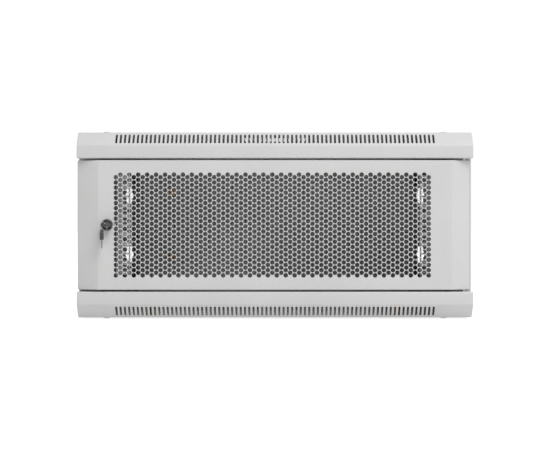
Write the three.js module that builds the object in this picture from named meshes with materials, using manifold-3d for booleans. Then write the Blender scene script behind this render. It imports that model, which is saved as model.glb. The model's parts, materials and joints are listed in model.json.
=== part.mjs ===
// Wall-mounted 19-inch network cabinet: welded frame, folded roof and floor, perforated door with lock.
// Units are millimetres. +X is to the right, +Y runs from the door to the wall, +Z is up.
// The origin is the centre of the rear face, which lies against the wall.

import * as THREE from 'three';
import { mergeVertices } from 'three/addons/utils/BufferGeometryUtils.js';
import Module from 'manifold-3d';

const wasm = await Module();
wasm.setup();

// Outer size
const WIDTH = 600;
const DEPTH = 450;
const HEIGHT = 282;
const HALF_W = WIDTH / 2;
const HALF_H = HEIGHT / 2;
const FRONT = -DEPTH;

// Sheet metal
const SHEET = 1.2;
const FRAME_SHEET = 1.5;
const GAP = 0.4;
const REST_GAP = 0.3;
const CUT_REACH = 5;

// Roof and floor covers: the same folded part, turned over
const COVER_HEIGHT = 40;
const COVER_EDGE = HALF_H - COVER_HEIGHT;
const CHAMFER = 20.5;
const LIP_DEPTH = 23;
const VENT_COUNT = 75;
const VENT_PITCH = 6.5;
const VENT_WIDTH = 3.3;
const VENT_LENGTH = 20;
const FAN_SLOTS = 13;
const FAN_SLOT_PITCH = 8;
const FAN_SLOT_WIDTH = 4;
const FAN_SLOT_LENGTH = 44;
const FAN_ROW_OFFSET = 27;
const CABLE_HOLE_WIDTH = 200;
const CABLE_HOLE_DEPTH = 50;
const CABLE_HOLE_Y = -62;
const CABLE_PLATE_SIDE = 16;
const CABLE_PLATE_END = 9;
const CABLE_PLATE_FOLD = 8;
const CABLE_SCREW_X = CABLE_HOLE_WIDTH / 2 + 8;
const CABLE_SCREW_HOLE_R = 2.4;

// Frame posts
const BODY_EDGE = COVER_EDGE - GAP;
const POST_OUTER = HALF_W - REST_GAP;
const POST_FRONT = FRONT + 26;
const POST_INNER = 270;
const POST_RETURN = 40;
const POST_LIP = 10;
const REAR_POST_INNER = 240;
const REAR_POST_RETURN = 30;
const REAR_POST_LIP = 12;
const COVER_INSIDE_X = HALF_W - SHEET - GAP;
const TAB_TOP = HALF_H - SHEET - GAP;
const TAB_INNER = 246;
const REAR_TAB_DEPTH = 30;
const REAR_TRIM = FRAME_SHEET + 0.2;
const CAM_WINDOW_DEPTH = 13.5;
const CAM_MARGIN = 6;
const WALL_FLANGE = 12;
const SCREW_X = 260;
const FRONT_SCREW_Y = FRONT + 55;
const REAR_SCREW_Y = -35;
const SCREW_HOLE_R = 3.3;

// Wall keyholes: a round hole with a slot above and below it
const KEYHOLE_X = 259.5;
const KEYHOLE_Z = 52.3;
const KEYHOLE_R = 7;
const KEYHOLE_SLOT_WIDTH = 9;
const KEYHOLE_SLOT_LENGTH = 29.5;

// Equipment rails, 19-inch standard
const RACK_UNIT = 44.45;
const RACK_UNITS = 4;
const RAIL_HOLE_X = 232.55;
const RAIL_HOLE = 9.5;
const RAIL_HOLE_STEP = 15.875;
const RAIL_INNER = 225;
const RAIL_OUTER = 248.5;
const RAIL_FRONT = FRONT + 73;
const RAIL_RETURN = 37;
const RAIL_HALF_HEIGHT = 95;

// Depth brackets that carry the rails
const BRACKET_INNER = 249;
const BRACKET_OUTER = POST_INNER - GAP;
const BRACKET_Z = 82;
const BRACKET_HEIGHT = 24;
const BRACKET_SLOT_FRONT = RAIL_FRONT - 13;
const BRACKET_SLOT_BACK = -80;
const BRACKET_SLOT_HEIGHT = 7;
const BRACKET_START = POST_FRONT + 3;
const RAIL_SCREW_Y = RAIL_FRONT + 19;

// Side panels and their slide latches
const PANEL_FRONT = POST_FRONT + POST_LIP + GAP;
const PANEL_REAR = -REAR_POST_LIP - GAP;
const PANEL_FLANGE = 10;
const LATCH_FRONT_Y = -350;
const LATCH_REAR_Y = -76;
const LATCH_WIDTH = 24;
const LATCH_PLATE = 3;
const LATCH_PLATE_LOW = 66;
const LATCH_PLATE_HIGH = 88;
const LATCH_TOP = 98.6;
const LATCH_TRAVEL = 8;
const THUMB_WIDTH = 18;
const THUMB_HEIGHT = 9;
const THUMB_Z = 78;

// Door
const DOOR_HALF_H = 98;
const DOOR_FLAT_X = 267.5;
const DOOR_LEFT = -299.9;
const DOOR_RIGHT = 295.4;
const DOOR_BEVEL = 12;
const DOOR_BACK = FRONT + 20;

// Hinges: the upper pin is sprung upwards and its bent foot is the release lever
const HINGE_X = 287;
const HINGE_Y = FRONT + 15.5;
const HINGE_PIN_R = 2.5;
const HINGE_HOLE_R = 2.95;
const PIN_END = COVER_EDGE + SHEET + 2.2;
const SHELF_Z = 66;
const SHELF_INNER = 275;
const SHELF_FRONT = FRONT + DOOR_BEVEL + 1;
const LEG_X = DOOR_RIGHT - SHEET - GAP;
const LEG_FRONT = FRONT + DOOR_BEVEL + 3;
const LEG_END = 94;
const COLLAR_R = 4;
const COLLAR_THICK = 1.7;
const SPRING_BOTTOM = SHELF_Z + REST_GAP;
const SPRING_TOP = 87.7;
const SPRING_R = 3.5;
const SPRING_WIRE_R = 0.45;
const SPRING_TURNS = 4;
const LEVER_Z = 56;
const LEVER_LENGTH = 20;
const LOWER_PIN_REACH = 8;

// Ventilation field of the door: the fine field of round holes is simplified to hexagons
// three times as large on three times the pitch, so the open area and the mass stay right.
const FIELD_LEFT = -243.9;
const FIELD_RIGHT = 235.7;
const FIELD_HALF_H = 79;
const FIELD_HOLE_R = 9;
const FIELD_PITCH = 23.4;
const FIELD_COLUMNS = 24;
const FIELD_ROWS = 6;

// Door stiffeners
const STIFFENER_LEFT_X = -254;
const STIFFENER_RIGHT_X = 251;
const STIFFENER_WIDTH = 20;
const STIFFENER_BACK = FRONT + 13;
const STIFFENER_HALF_H = 88;

// Lock, keys and key ring
const LOCK_X = -254;
const LOCK_HEAD_R = 9;
const LOCK_HEAD_FRONT = FRONT - 2.6;
const LOCK_BODY_R = 8;
const LOCK_BODY_BACK = FRONT + 28;
const LOCK_NUT_R = 12.4;
const LOCK_NUT_THICK = 5;
const CORE_R = 5;
const CORE_FRONT = FRONT - 2.2;
const CAM_Y = LOCK_BODY_BACK + GAP;
const CAM_THICK = 2;
const CAM_LENGTH = 31;
const CAM_WIDTH = 13;
const CAM_TIP = 5.2;
const CAM_CORNER = 3;
const CAM_SQUARE = 6;
const CAM_TAIL = 2.6;
const CAM_SCREW_HEAD_R = 5.2;
const CAM_SCREW_HEAD = 2.5;
const CAM_SCREW_SHANK_R = 1.6;
const CAM_SCREW_HOLE_R = 2;
const BLADE_WIDTH = 7;
const BLADE_THICK = 1.8;
const BLADE_LENGTH = 13;
const BLADE_ROOT = 4;
const TOOTH_PITCH = 3;
const TOOTH_DEPTH = 1.2;
const BOW_WIDTH = 17;
const BOW_LENGTH = 15.6;
const BOW_THICK = 4.6;
const BOW_HOLE_R = 3;
const BOW_HOLE_INSET = 6;
const BOW_CORNER = 3;
const RING_R = 7.8;
const RING_WIRE_R = 0.6;
const KEY_Y = FRONT - 4;
const RING_X = -6.5;
const RING_Y = KEY_Y - BOW_LENGTH + BOW_HOLE_INSET;
const RING_Z = -3.4;
const SPARE_EYE_DROP = 1.7;

// Small parts
const COVER_SCREW = { headRadius: 5.8, headHeight: 2.4, shankRadius: 2.7, shankLength: 12 };
const RAIL_SCREW = { headRadius: 6, headHeight: 3.6, shankRadius: 2.7, shankLength: 12 };
const CABLE_SCREW = { headRadius: 4, headHeight: 2.2, shankRadius: 1.9, shankLength: 7 };
const STUD_FLANGE_R = 7;
const STUD_FLANGE = 1.6;
const STUD_NUT_R = 4.6;
const STUD_NUT_TOP = 5.6;
const STUD_R = 2.6;
const STUD_LENGTH = 13;
const WALL_STUD_X = -182;
const WALL_STUD_Z = 57;
const FLOOR_STUD_X = 191;
const FLOOR_STUD_Y = FRONT + 60;

// The upper and lower end of the cabinet, and the number of sides of the circles
const ENDS = [-1, 1];
const ROUND = 16;
const FINE_ROUND = 20;
const SMALL_ROUND = 10;
const PIN_ROUND = 12;

const paint = () => new THREE.MeshStandardMaterial({ color: 0xcfd1cf, roughness: 0.55, metalness: 0.1 });
const zinc = () => new THREE.MeshStandardMaterial({ color: 0xb9bcbf, roughness: 0.35, metalness: 0.9 });
const chrome = () => new THREE.MeshStandardMaterial({ color: 0x8d9093, roughness: 0.2, metalness: 1 });
const brass = () => new THREE.MeshStandardMaterial({ color: 0xb5793a, roughness: 0.35, metalness: 1 });
const plastic = () => new THREE.MeshStandardMaterial({ color: 0x1d1e20, roughness: 0.5, metalness: 0 });

// --- solids -------------------------------------------------------------------------------------

function solidFrom(geometry) {
  const bare = geometry.index ? geometry.toNonIndexed() : geometry.clone();
  bare.deleteAttribute('normal');
  bare.deleteAttribute('uv');
  const merged = mergeVertices(bare, 1e-4);
  return new wasm.Manifold(new wasm.Mesh({
    numProp: 3,
    vertProperties: new Float32Array(merged.attributes.position.array),
    triVerts: new Uint32Array(merged.index.array),
  }));
}

function geometryFrom(solid) {
  const mesh = solid.getMesh();
  const geometry = new THREE.BufferGeometry();
  geometry.setAttribute('position', new THREE.BufferAttribute(mesh.vertProperties, 3));
  geometry.setIndex(new THREE.BufferAttribute(mesh.triVerts, 1));
  geometry.computeVertexNormals();
  return geometry;
}

function box(x0, x1, y0, y1, z0, z1) {
  const geometry = new THREE.BoxGeometry(Math.abs(x1 - x0), Math.abs(y1 - y0), Math.abs(z1 - z0));
  geometry.translate((x0 + x1) / 2, (y0 + y1) / 2, (z0 + z1) / 2);
  return solidFrom(geometry);
}

function shapeFrom(points) {
  return new THREE.Shape(points.map(([x, y]) => new THREE.Vector2(x, y)));
}

// Extrudes a shape: its plane and the direction it grows in are given by three axes.
function extrude(shape, depth, basis, offset) {
  const geometry = new THREE.ExtrudeGeometry(shape, { depth, bevelEnabled: false, curveSegments: 6 });
  geometry.applyMatrix4(new THREE.Matrix4().makeBasis(...basis));
  geometry.translate(...offset);
  return solidFrom(geometry);
}

const AXIS_X = new THREE.Vector3(1, 0, 0);
const AXIS_Y = new THREE.Vector3(0, 1, 0);
const AXIS_Z = new THREE.Vector3(0, 0, 1);
const AXIS_BACK = new THREE.Vector3(0, -1, 0);

const alongX = (shape, x0, x1) => extrude(shape, x1 - x0, [AXIS_Y, AXIS_Z, AXIS_X], [x0, 0, 0]);
const alongY = (shape, y0, y1) => extrude(shape, y1 - y0, [AXIS_X, AXIS_Z, AXIS_BACK], [0, y1, 0]);
const alongZ = (shape, z0, z1) => extrude(shape, z1 - z0, [AXIS_X, AXIS_Y, AXIS_Z], [0, 0, z0]);

function cylinder(radius, start, end, segments = ROUND) {
  const from = new THREE.Vector3(...start);
  const along = new THREE.Vector3(...end).sub(from);
  const geometry = new THREE.CylinderGeometry(radius, radius, along.length(), segments);
  geometry.translate(0, along.length() / 2, 0);
  const turn = new THREE.Quaternion().setFromUnitVectors(AXIS_Y, along.clone().normalize());
  geometry.applyQuaternion(turn);
  geometry.translate(from.x, from.y, from.z);
  return solidFrom(geometry);
}

// A round cutter through a sheet: centred on the point and reaching both ways along one axis.
function drill(radius, [x, y, z], axis, segments = SMALL_ROUND) {
  const [dx, dy, dz] = axis.clone().multiplyScalar(CUT_REACH).toArray();
  return cylinder(radius, [x - dx, y - dy, z - dz], [x + dx, y + dy, z + dz], segments);
}

function join(...solids) {
  return solids.reduce((total, solid) => total.add(solid));
}

function cut(solid, ...tools) {
  return tools.reduce((left, tool) => left.subtract(tool), solid);
}

// Outline of a sheet bent along a path; the sheet lies on the right-hand side of the path.
function bentSheet(path, thickness) {
  const inner = path.map((point, i) => {
    const before = path[Math.max(i - 1, 0)];
    const after = path[Math.min(i + 1, path.length - 1)];
    const normals = [];
    if (i > 0) normals.push(rightNormal(before, point));
    if (i < path.length - 1) normals.push(rightNormal(point, after));
    const sum = normals.reduce(([ax, ay], [bx, by]) => [ax + bx, ay + by]);
    const length2 = sum[0] ** 2 + sum[1] ** 2;
    const scale = (thickness * normals.length) / length2;
    return [point[0] + sum[0] * scale, point[1] + sum[1] * scale];
  });
  return shapeFrom([...path, ...inner.reverse()]);
}

function rightNormal([ax, ay], [bx, by]) {
  const length = Math.hypot(bx - ax, by - ay);
  return [(by - ay) / length, (ax - bx) / length];
}

// A path drawn for the right-hand side, mirrored for the left and still travelled the same way round.
function onSide(path, side) {
  const moved = path.map(([x, y]) => [side * x, y]);
  return side > 0 ? moved : moved.reverse();
}

function polygon(radius, sides) {
  const angles = Array.from({ length: sides }, (_, i) => (i * Math.PI * 2) / sides);
  return shapeFrom(angles.map((angle) => [radius * Math.cos(angle), radius * Math.sin(angle)]));
}

const hexagon = (radius) => polygon(radius, 6);

function slotShape(width, length) {
  const halfW = width / 2;
  const halfL = length / 2;
  return shapeFrom([[halfW, -halfL], [halfW, halfL], [-halfW, halfL], [-halfW, -halfL]]);
}

// A button-head screw whose head rests on the plane z = 0 and whose shank points down.
function buttonScrew({ headRadius, headHeight, shankRadius, shankLength }) {
  const dome = [1, 0.7].map((part) => {
    const height = headHeight * (0.35 + 0.65 * Math.sqrt(1 - part ** 2));
    return new THREE.Vector2(headRadius * part, height);
  });
  const profile = [
    new THREE.Vector2(0, -shankLength),
    new THREE.Vector2(shankRadius, -shankLength),
    new THREE.Vector2(shankRadius, 0),
    new THREE.Vector2(headRadius, 0),
    ...dome,
    new THREE.Vector2(0, headHeight),
  ];
  const geometry = new THREE.LatheGeometry(profile, 8);
  geometry.rotateX(Math.PI / 2);
  return solidFrom(geometry);
}

function piece(name, solid, material) {
  const mesh = new THREE.Mesh(geometryFrom(solid), material);
  mesh.name = name;
  return mesh;
}

function placed(mesh, x, y, z) {
  mesh.position.set(x, y, z);
  return mesh;
}

// --- roof and floor -----------------------------------------------------------------------------

function ventCutter(x) {
  const slot = slotShape(VENT_WIDTH, VENT_LENGTH);
  const geometry = new THREE.ExtrudeGeometry(slot, { depth: 2 * CUT_REACH, bevelEnabled: false });
  geometry.translate(0, 0, -CUT_REACH);
  geometry.rotateX(Math.PI / 4);
  geometry.translate(x, FRONT + CHAMFER / 2, HALF_H - CHAMFER / 2);
  return solidFrom(geometry);
}

function ventCutters() {
  const first = (-(VENT_COUNT - 1) * VENT_PITCH) / 2;
  return Array.from({ length: VENT_COUNT }, (_, i) => ventCutter(first + i * VENT_PITCH));
}

function fanCutters() {
  const first = (-(FAN_SLOTS - 1) * FAN_SLOT_PITCH) / 2;
  const cutters = [];
  for (const row of [-1, 1]) {
    for (let i = 0; i < FAN_SLOTS; i += 1) {
      const slot = slotShape(FAN_SLOT_WIDTH, FAN_SLOT_LENGTH);
      const cutter = alongZ(slot, HALF_H - CUT_REACH, HALF_H + CUT_REACH);
      const y = -DEPTH / 2 + row * FAN_ROW_OFFSET;
      cutters.push(cutter.translate([first + i * FAN_SLOT_PITCH, y, 0]));
    }
  }
  return cutters;
}

function screwHoles() {
  const holes = [];
  for (const x of [-SCREW_X, SCREW_X]) {
    for (const y of [FRONT_SCREW_Y, REAR_SCREW_Y]) {
      holes.push(drill(SCREW_HOLE_R, [x, y, HALF_H], AXIS_Z));
    }
  }
  return holes;
}

function cableScrewHoles(z) {
  return [-CABLE_SCREW_X, CABLE_SCREW_X].map((x) =>
    drill(CABLE_SCREW_HOLE_R, [x, CABLE_HOLE_Y, z], AXIS_Z));
}

function cableEntry() {
  const halfX = CABLE_HOLE_WIDTH / 2;
  const y0 = CABLE_HOLE_Y - CABLE_HOLE_DEPTH / 2;
  const y1 = CABLE_HOLE_Y + CABLE_HOLE_DEPTH / 2;
  return box(-halfX, halfX, y0, y1, HALF_H - CUT_REACH, HALF_H + CUT_REACH);
}

// The folded cover, drawn as the roof. hingeX is the side on which its lip takes the hinge pin.
function coverSolid(hingeX, fanGrille) {
  const outer = alongX(shapeFrom([
    [0, COVER_EDGE],
    [0, HALF_H],
    [FRONT + CHAMFER, HALF_H],
    [FRONT, HALF_H - CHAMFER],
    [FRONT, COVER_EDGE],
  ]), -HALF_W, HALF_W);
  const bevelInset = SHEET * (Math.SQRT2 - 1);
  const inner = alongX(shapeFrom([
    [-SHEET, COVER_EDGE - 1],
    [-SHEET, HALF_H - SHEET],
    [FRONT + CHAMFER + bevelInset, HALF_H - SHEET],
    [FRONT + SHEET, HALF_H - CHAMFER - bevelInset],
    [FRONT + SHEET, COVER_EDGE + SHEET],
    [FRONT + LIP_DEPTH, COVER_EDGE + SHEET],
    [FRONT + LIP_DEPTH, COVER_EDGE - 1],
  ]), -HALF_W + SHEET, HALF_W - SHEET);
  const pinHole = drill(HINGE_HOLE_R, [hingeX, HINGE_Y, COVER_EDGE], AXIS_Z, PIN_ROUND);
  const grille = fanGrille ? fanCutters() : [];
  const holes = [cableEntry(), ...cableScrewHoles(HALF_H), ...screwHoles(), ...ventCutters(), ...grille];
  return cut(outer, inner, pinHole, ...holes);
}

function cableCover() {
  const halfX = CABLE_HOLE_WIDTH / 2 + CABLE_PLATE_SIDE;
  const halfY = CABLE_HOLE_DEPTH / 2 + CABLE_PLATE_END;
  const front = CABLE_HOLE_Y - halfY;
  const top = TAB_TOP;
  const plate = box(-halfX, halfX, front, CABLE_HOLE_Y + halfY, top - SHEET, top);
  const fold = box(-halfX, halfX, front, front + SHEET, top - CABLE_PLATE_FOLD, top);
  return cut(join(plate, fold), ...cableScrewHoles(top));
}

// --- frame --------------------------------------------------------------------------------------

// The posts run up behind the covers, so the skin in front of x or y is trimmed off beyond the body.
function trimOutside(post, side) {
  const x = [side * COVER_INSIDE_X, side * (HALF_W + CUT_REACH)];
  const tools = ENDS.map((end) => box(...x, FRONT, CUT_REACH, end * BODY_EDGE, end * HEIGHT));
  return cut(post, ...tools);
}

function trimBehind(post, y) {
  const tools = ENDS.map((end) => box(-WIDTH, WIDTH, y, CUT_REACH, end * BODY_EDGE, end * HEIGHT));
  return cut(post, ...tools);
}

function postTabs(side, y0, y1, screwY) {
  return ENDS.map((end) => {
    const z = [end * (TAB_TOP - FRAME_SHEET), end * TAB_TOP];
    const tab = box(side * TAB_INNER, side * COVER_INSIDE_X, y0, y1, ...z);
    return cut(tab, drill(SCREW_HOLE_R, [side * SCREW_X, screwY, end * TAB_TOP], AXIS_Z));
  });
}

function frontPost(side) {
  const path = onSide([
    [POST_OUTER, POST_FRONT + POST_LIP],
    [POST_OUTER, POST_FRONT],
    [POST_INNER, POST_FRONT],
    [POST_INNER, POST_FRONT + POST_RETURN],
  ], side);
  const post = alongZ(bentSheet(path, FRAME_SHEET), -TAB_TOP, TAB_TOP);
  const tabFront = POST_FRONT + FRAME_SHEET / 2;
  const tabs = postTabs(side, tabFront, POST_FRONT + POST_RETURN, FRONT_SCREW_Y);
  const whole = join(trimOutside(post, side), ...tabs);
  return side < 0 ? cut(whole, camWindow()) : whole;
}

// The lock's cam swings through this window in the left post's inner web.
function camWindow() {
  const x = [-POST_INNER - CUT_REACH, -POST_INNER + CUT_REACH];
  const front = POST_FRONT + FRAME_SHEET;
  const low = -CAM_WIDTH / 2 - CAM_MARGIN;
  return box(...x, front, front + CAM_WINDOW_DEPTH, low, CAM_LENGTH + CAM_MARGIN);
}

function rearPost(side) {
  const path = onSide([
    [REAR_POST_INNER, -REAR_POST_RETURN],
    [REAR_POST_INNER, 0],
    [POST_OUTER, 0],
    [POST_OUTER, -REAR_POST_LIP],
  ], side);
  const post = alongZ(bentSheet(path, FRAME_SHEET), -TAB_TOP, TAB_TOP);
  const trimmed = trimBehind(trimOutside(post, side), -REAR_TRIM);
  const tabs = postTabs(side, -REAR_POST_RETURN - REAR_TAB_DEPTH, -REAR_TRIM, REAR_SCREW_Y);
  const linkX = [side * REAR_POST_INNER, side * (TAB_INNER + 2)];
  const links = ENDS.map((end) => {
    const z = [end * (TAB_TOP - FRAME_SHEET), end * TAB_TOP];
    return box(...linkX, -REAR_POST_RETURN, -REAR_TRIM, ...z);
  });
  return cut(join(trimmed, ...tabs, ...links), ...keyholes(side));
}

function keyholes(side) {
  return ENDS.flatMap((end) => {
    const x = side * KEYHOLE_X;
    const z = end * KEYHOLE_Z;
    const halfW = KEYHOLE_SLOT_WIDTH / 2;
    const halfL = KEYHOLE_SLOT_LENGTH / 2;
    const slot = box(x - halfW, x + halfW, -CUT_REACH, CUT_REACH, z - halfL, z + halfL);
    return [drill(KEYHOLE_R, [x, 0, z], AXIS_Y, ROUND), slot];
  });
}

function rearPanel() {
  const halfX = REAR_POST_INNER - GAP;
  const insideX = halfX - SHEET;
  const insideZ = BODY_EDGE - SHEET;
  const outer = box(-halfX, halfX, -WALL_FLANGE, 0, -BODY_EDGE, BODY_EDGE);
  const inner = box(-insideX, insideX, -WALL_FLANGE - CUT_REACH, -SHEET, -insideZ, insideZ);
  return cut(outer, inner);
}

function depthBracket(side) {
  const path = onSide([
    [BRACKET_OUTER, -BRACKET_HEIGHT / 2],
    [BRACKET_INNER, -BRACKET_HEIGHT / 2],
    [BRACKET_INNER, BRACKET_HEIGHT / 2],
    [BRACKET_OUTER, BRACKET_HEIGHT / 2],
  ], side);
  const bar = alongY(bentSheet(path, FRAME_SHEET), BRACKET_START, -FRAME_SHEET - GAP);
  const slotHalf = BRACKET_SLOT_HEIGHT / 2;
  const x = [side * (BRACKET_INNER - CUT_REACH), side * (BRACKET_INNER + CUT_REACH)];
  return cut(bar, box(...x, BRACKET_SLOT_FRONT, BRACKET_SLOT_BACK, -slotHalf, slotHalf));
}

// --- equipment rails ----------------------------------------------------------------------------

function railHoles(side) {
  const holes = [];
  for (let unit = 0; unit < RACK_UNITS; unit += 1) {
    const unitCentre = (unit - (RACK_UNITS - 1) / 2) * RACK_UNIT;
    for (const step of [-RAIL_HOLE_STEP, 0, RAIL_HOLE_STEP]) {
      const z = unitCentre + step;
      const x = side * RAIL_HOLE_X;
      const half = RAIL_HOLE / 2;
      const y = [RAIL_FRONT - CUT_REACH, RAIL_FRONT + CUT_REACH];
      holes.push(box(x - half, x + half, ...y, z - half, z + half));
    }
  }
  return holes;
}

function mountingRail(side) {
  const path = onSide([
    [RAIL_OUTER, RAIL_FRONT + RAIL_RETURN],
    [RAIL_OUTER, RAIL_FRONT],
    [RAIL_INNER, RAIL_FRONT],
  ], side);
  const rail = alongZ(bentSheet(path, FRAME_SHEET), -RAIL_HALF_HEIGHT, RAIL_HALF_HEIGHT);
  const screws = ENDS.map((end) =>
    drill(SCREW_HOLE_R, [side * RAIL_OUTER, RAIL_SCREW_Y, end * BRACKET_Z], AXIS_X));
  return cut(rail, ...railHoles(side), ...screws);
}

// --- side panels --------------------------------------------------------------------------------

function sidePanel(side) {
  const outerX = side * HALF_W;
  const flangeX = outerX - side * PANEL_FLANGE;
  const outer = box(outerX, flangeX, PANEL_FRONT, PANEL_REAR, -BODY_EDGE, BODY_EDGE);
  const inner = box(
    outerX - side * SHEET, flangeX - side * CUT_REACH,
    PANEL_FRONT + SHEET, PANEL_REAR - SHEET,
    -BODY_EDGE + SHEET, BODY_EDGE - SHEET,
  );
  const latches = [LATCH_FRONT_Y, LATCH_REAR_Y].flatMap((y) => latchOpenings(side, y));
  return cut(outer, inner, ...latches);
}

// A window for the thumb piece and a notch in the top flange for the bolt.
function latchOpenings(side, y) {
  const halfThumb = THUMB_WIDTH / 2 + GAP;
  const windowTop = THUMB_Z + THUMB_HEIGHT / 2 + LATCH_TRAVEL + GAP;
  const windowBottom = THUMB_Z - THUMB_HEIGHT / 2 - GAP;
  const skinX = [side * (HALF_W - CUT_REACH), side * (HALF_W + CUT_REACH)];
  const skin = box(...skinX, y - halfThumb, y + halfThumb, windowBottom, windowTop);
  const halfBolt = LATCH_WIDTH / 4 + 1;
  const flangeX = [side * (HALF_W - 2 * PANEL_FLANGE), side * (HALF_W - SHEET - 0.1)];
  const flangeZ = [BODY_EDGE - CUT_REACH, BODY_EDGE + CUT_REACH];
  return [skin, box(...flangeX, y - halfBolt, y + halfBolt, ...flangeZ)];
}

// The latch is drawn released: pushing the thumb piece up drives the bolt behind the roof's side fold.
function slideLatch(side) {
  const x = [side * COVER_INSIDE_X, side * (COVER_INSIDE_X - LATCH_PLATE)];
  const plate = box(...x, -LATCH_WIDTH / 2, LATCH_WIDTH / 2, LATCH_PLATE_LOW, LATCH_PLATE_HIGH);
  const bolt = box(...x, -LATCH_WIDTH / 4, LATCH_WIDTH / 4, LATCH_PLATE_HIGH - 1, LATCH_TOP);
  const thumb = box(
    side * (COVER_INSIDE_X - 1), side * (HALF_W - 0.1),
    -THUMB_WIDTH / 2, THUMB_WIDTH / 2,
    THUMB_Z - THUMB_HEIGHT / 2, THUMB_Z + THUMB_HEIGHT / 2,
  );
  return join(plate, bolt, thumb);
}

// --- door ---------------------------------------------------------------------------------------

// The door's section seen from above, from its hinge edge round the front to its lock edge.
const DOOR_SECTION = [
  [DOOR_RIGHT, DOOR_BACK],
  [DOOR_RIGHT, FRONT + DOOR_BEVEL],
  [DOOR_FLAT_X, FRONT],
  [-DOOR_FLAT_X, FRONT],
  [DOOR_LEFT, FRONT + DOOR_BEVEL],
  [DOOR_LEFT, DOOR_BACK],
];

function fieldCutters() {
  const first = FIELD_LEFT + FIELD_HOLE_R;
  const last = FIELD_RIGHT - FIELD_HOLE_R;
  const spacing = (last - first) / (FIELD_COLUMNS - 1);
  const cutters = [];
  for (let column = 0; column < FIELD_COLUMNS; column += 1) {
    const lift = column % 2 ? FIELD_PITCH / 4 : -FIELD_PITCH / 4;
    for (let row = 0; row < FIELD_ROWS; row += 1) {
      const z = (row - (FIELD_ROWS - 1) / 2) * FIELD_PITCH + lift;
      const cutter = alongY(hexagon(FIELD_HOLE_R), FRONT - CUT_REACH, FRONT + CUT_REACH);
      cutters.push(cutter.translate([first + column * spacing, 0, z]));
    }
  }
  return cutters;
}

function doorPanel() {
  const shell = alongZ(bentSheet(DOOR_SECTION, SHEET), -DOOR_HALF_H, DOOR_HALF_H);
  const upperFold = alongZ(shapeFrom(DOOR_SECTION), DOOR_HALF_H - SHEET, DOOR_HALF_H);
  const lowerFold = alongZ(shapeFrom(DOOR_SECTION), -DOOR_HALF_H, SHEET - DOOR_HALF_H);
  const pinHoles = ENDS.map((end) =>
    drill(HINGE_HOLE_R, [HINGE_X, HINGE_Y, end * DOOR_HALF_H], AXIS_Z, PIN_ROUND));
  return cut(join(shell, upperFold, lowerFold), lockHole(FRONT), ...pinHoles, ...fieldCutters());
}

function lockHole(y) {
  return drill(LOCK_BODY_R + GAP, [LOCK_X, y, 0], AXIS_Y, FINE_ROUND);
}

function stiffener(x, withLockHole) {
  const half = STIFFENER_WIDTH / 2;
  const face = FRONT + SHEET + GAP;
  const path = [
    [x - half, face],
    [x - half, STIFFENER_BACK],
    [x + half, STIFFENER_BACK],
    [x + half, face],
  ];
  const channel = alongZ(bentSheet(path, SHEET), -STIFFENER_HALF_H, STIFFENER_HALF_H);
  return withLockHole ? cut(channel, lockHole(STIFFENER_BACK)) : channel;
}

// --- hinges -------------------------------------------------------------------------------------

// An L-shaped bracket on the door's hinge edge; its shelf guides the pin. end is +1 at the top.
function hingeBracket(end) {
  const underside = end * (SHELF_Z - FRAME_SHEET);
  const shelf = box(SHELF_INNER, LEG_X, SHELF_FRONT, DOOR_BACK, underside, end * SHELF_Z);
  const leg = box(LEG_X - FRAME_SHEET, LEG_X, LEG_FRONT, DOOR_BACK, underside, end * LEG_END);
  const hole = drill(HINGE_HOLE_R, [HINGE_X, HINGE_Y, end * SHELF_Z], AXIS_Z, PIN_ROUND);
  return cut(join(shelf, leg), hole);
}

function upright(radius, z0, z1) {
  return cylinder(radius, [0, 0, z0], [0, 0, z1], PIN_ROUND);
}

function upperHingePin() {
  const pin = upright(HINGE_PIN_R, LEVER_Z - HINGE_PIN_R, PIN_END);
  const collarLow = SPRING_TOP + REST_GAP;
  const collar = upright(COLLAR_R, collarLow, collarLow + COLLAR_THICK);
  const lever = cylinder(HINGE_PIN_R, [0, 0, LEVER_Z], [-LEVER_LENGTH, 0, LEVER_Z], PIN_ROUND);
  return join(pin, collar, lever);
}

function lowerHingePin() {
  const collarLow = -SHELF_Z + FRAME_SHEET + REST_GAP;
  const pin = upright(HINGE_PIN_R, -PIN_END, -SHELF_Z + LOWER_PIN_REACH);
  return join(pin, upright(COLLAR_R, collarLow, collarLow + COLLAR_THICK));
}

class CoilCurve extends THREE.Curve {
  getPoint(t, target = new THREE.Vector3()) {
    const angle = t * SPRING_TURNS * Math.PI * 2;
    const bottom = SPRING_BOTTOM + SPRING_WIRE_R;
    const top = SPRING_TOP - SPRING_WIRE_R;
    return target.set(SPRING_R * Math.cos(angle), SPRING_R * Math.sin(angle), bottom + t * (top - bottom));
  }
}

function hingeSpring() {
  const wire = polygon(SPRING_WIRE_R, 5);
  const path = new CoilCurve();
  const steps = SPRING_TURNS * 8;
  const geometry = new THREE.ExtrudeGeometry(wire, { steps, extrudePath: path, bevelEnabled: false });
  return solidFrom(geometry);
}

// --- lock ---------------------------------------------------------------------------------------

const turned = (radius, y0, y1, segments = FINE_ROUND) =>
  cylinder(radius, [0, y0, 0], [0, y1, 0], segments);

function lockBody() {
  const head = turned(LOCK_HEAD_R, LOCK_HEAD_FRONT, FRONT - GAP);
  const barrel = turned(LOCK_BODY_R, FRONT - 1, LOCK_BODY_BACK);
  const bore = turned(CORE_R + GAP, FRONT - CUT_REACH, LOCK_BODY_BACK + CUT_REACH);
  return cut(join(head, barrel), bore);
}

function lockNut() {
  const face = STIFFENER_BACK + GAP;
  const nut = alongY(hexagon(LOCK_NUT_R), face, face + LOCK_NUT_THICK);
  return cut(nut, turned(LOCK_BODY_R + GAP, FRONT, LOCK_BODY_BACK));
}

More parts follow.
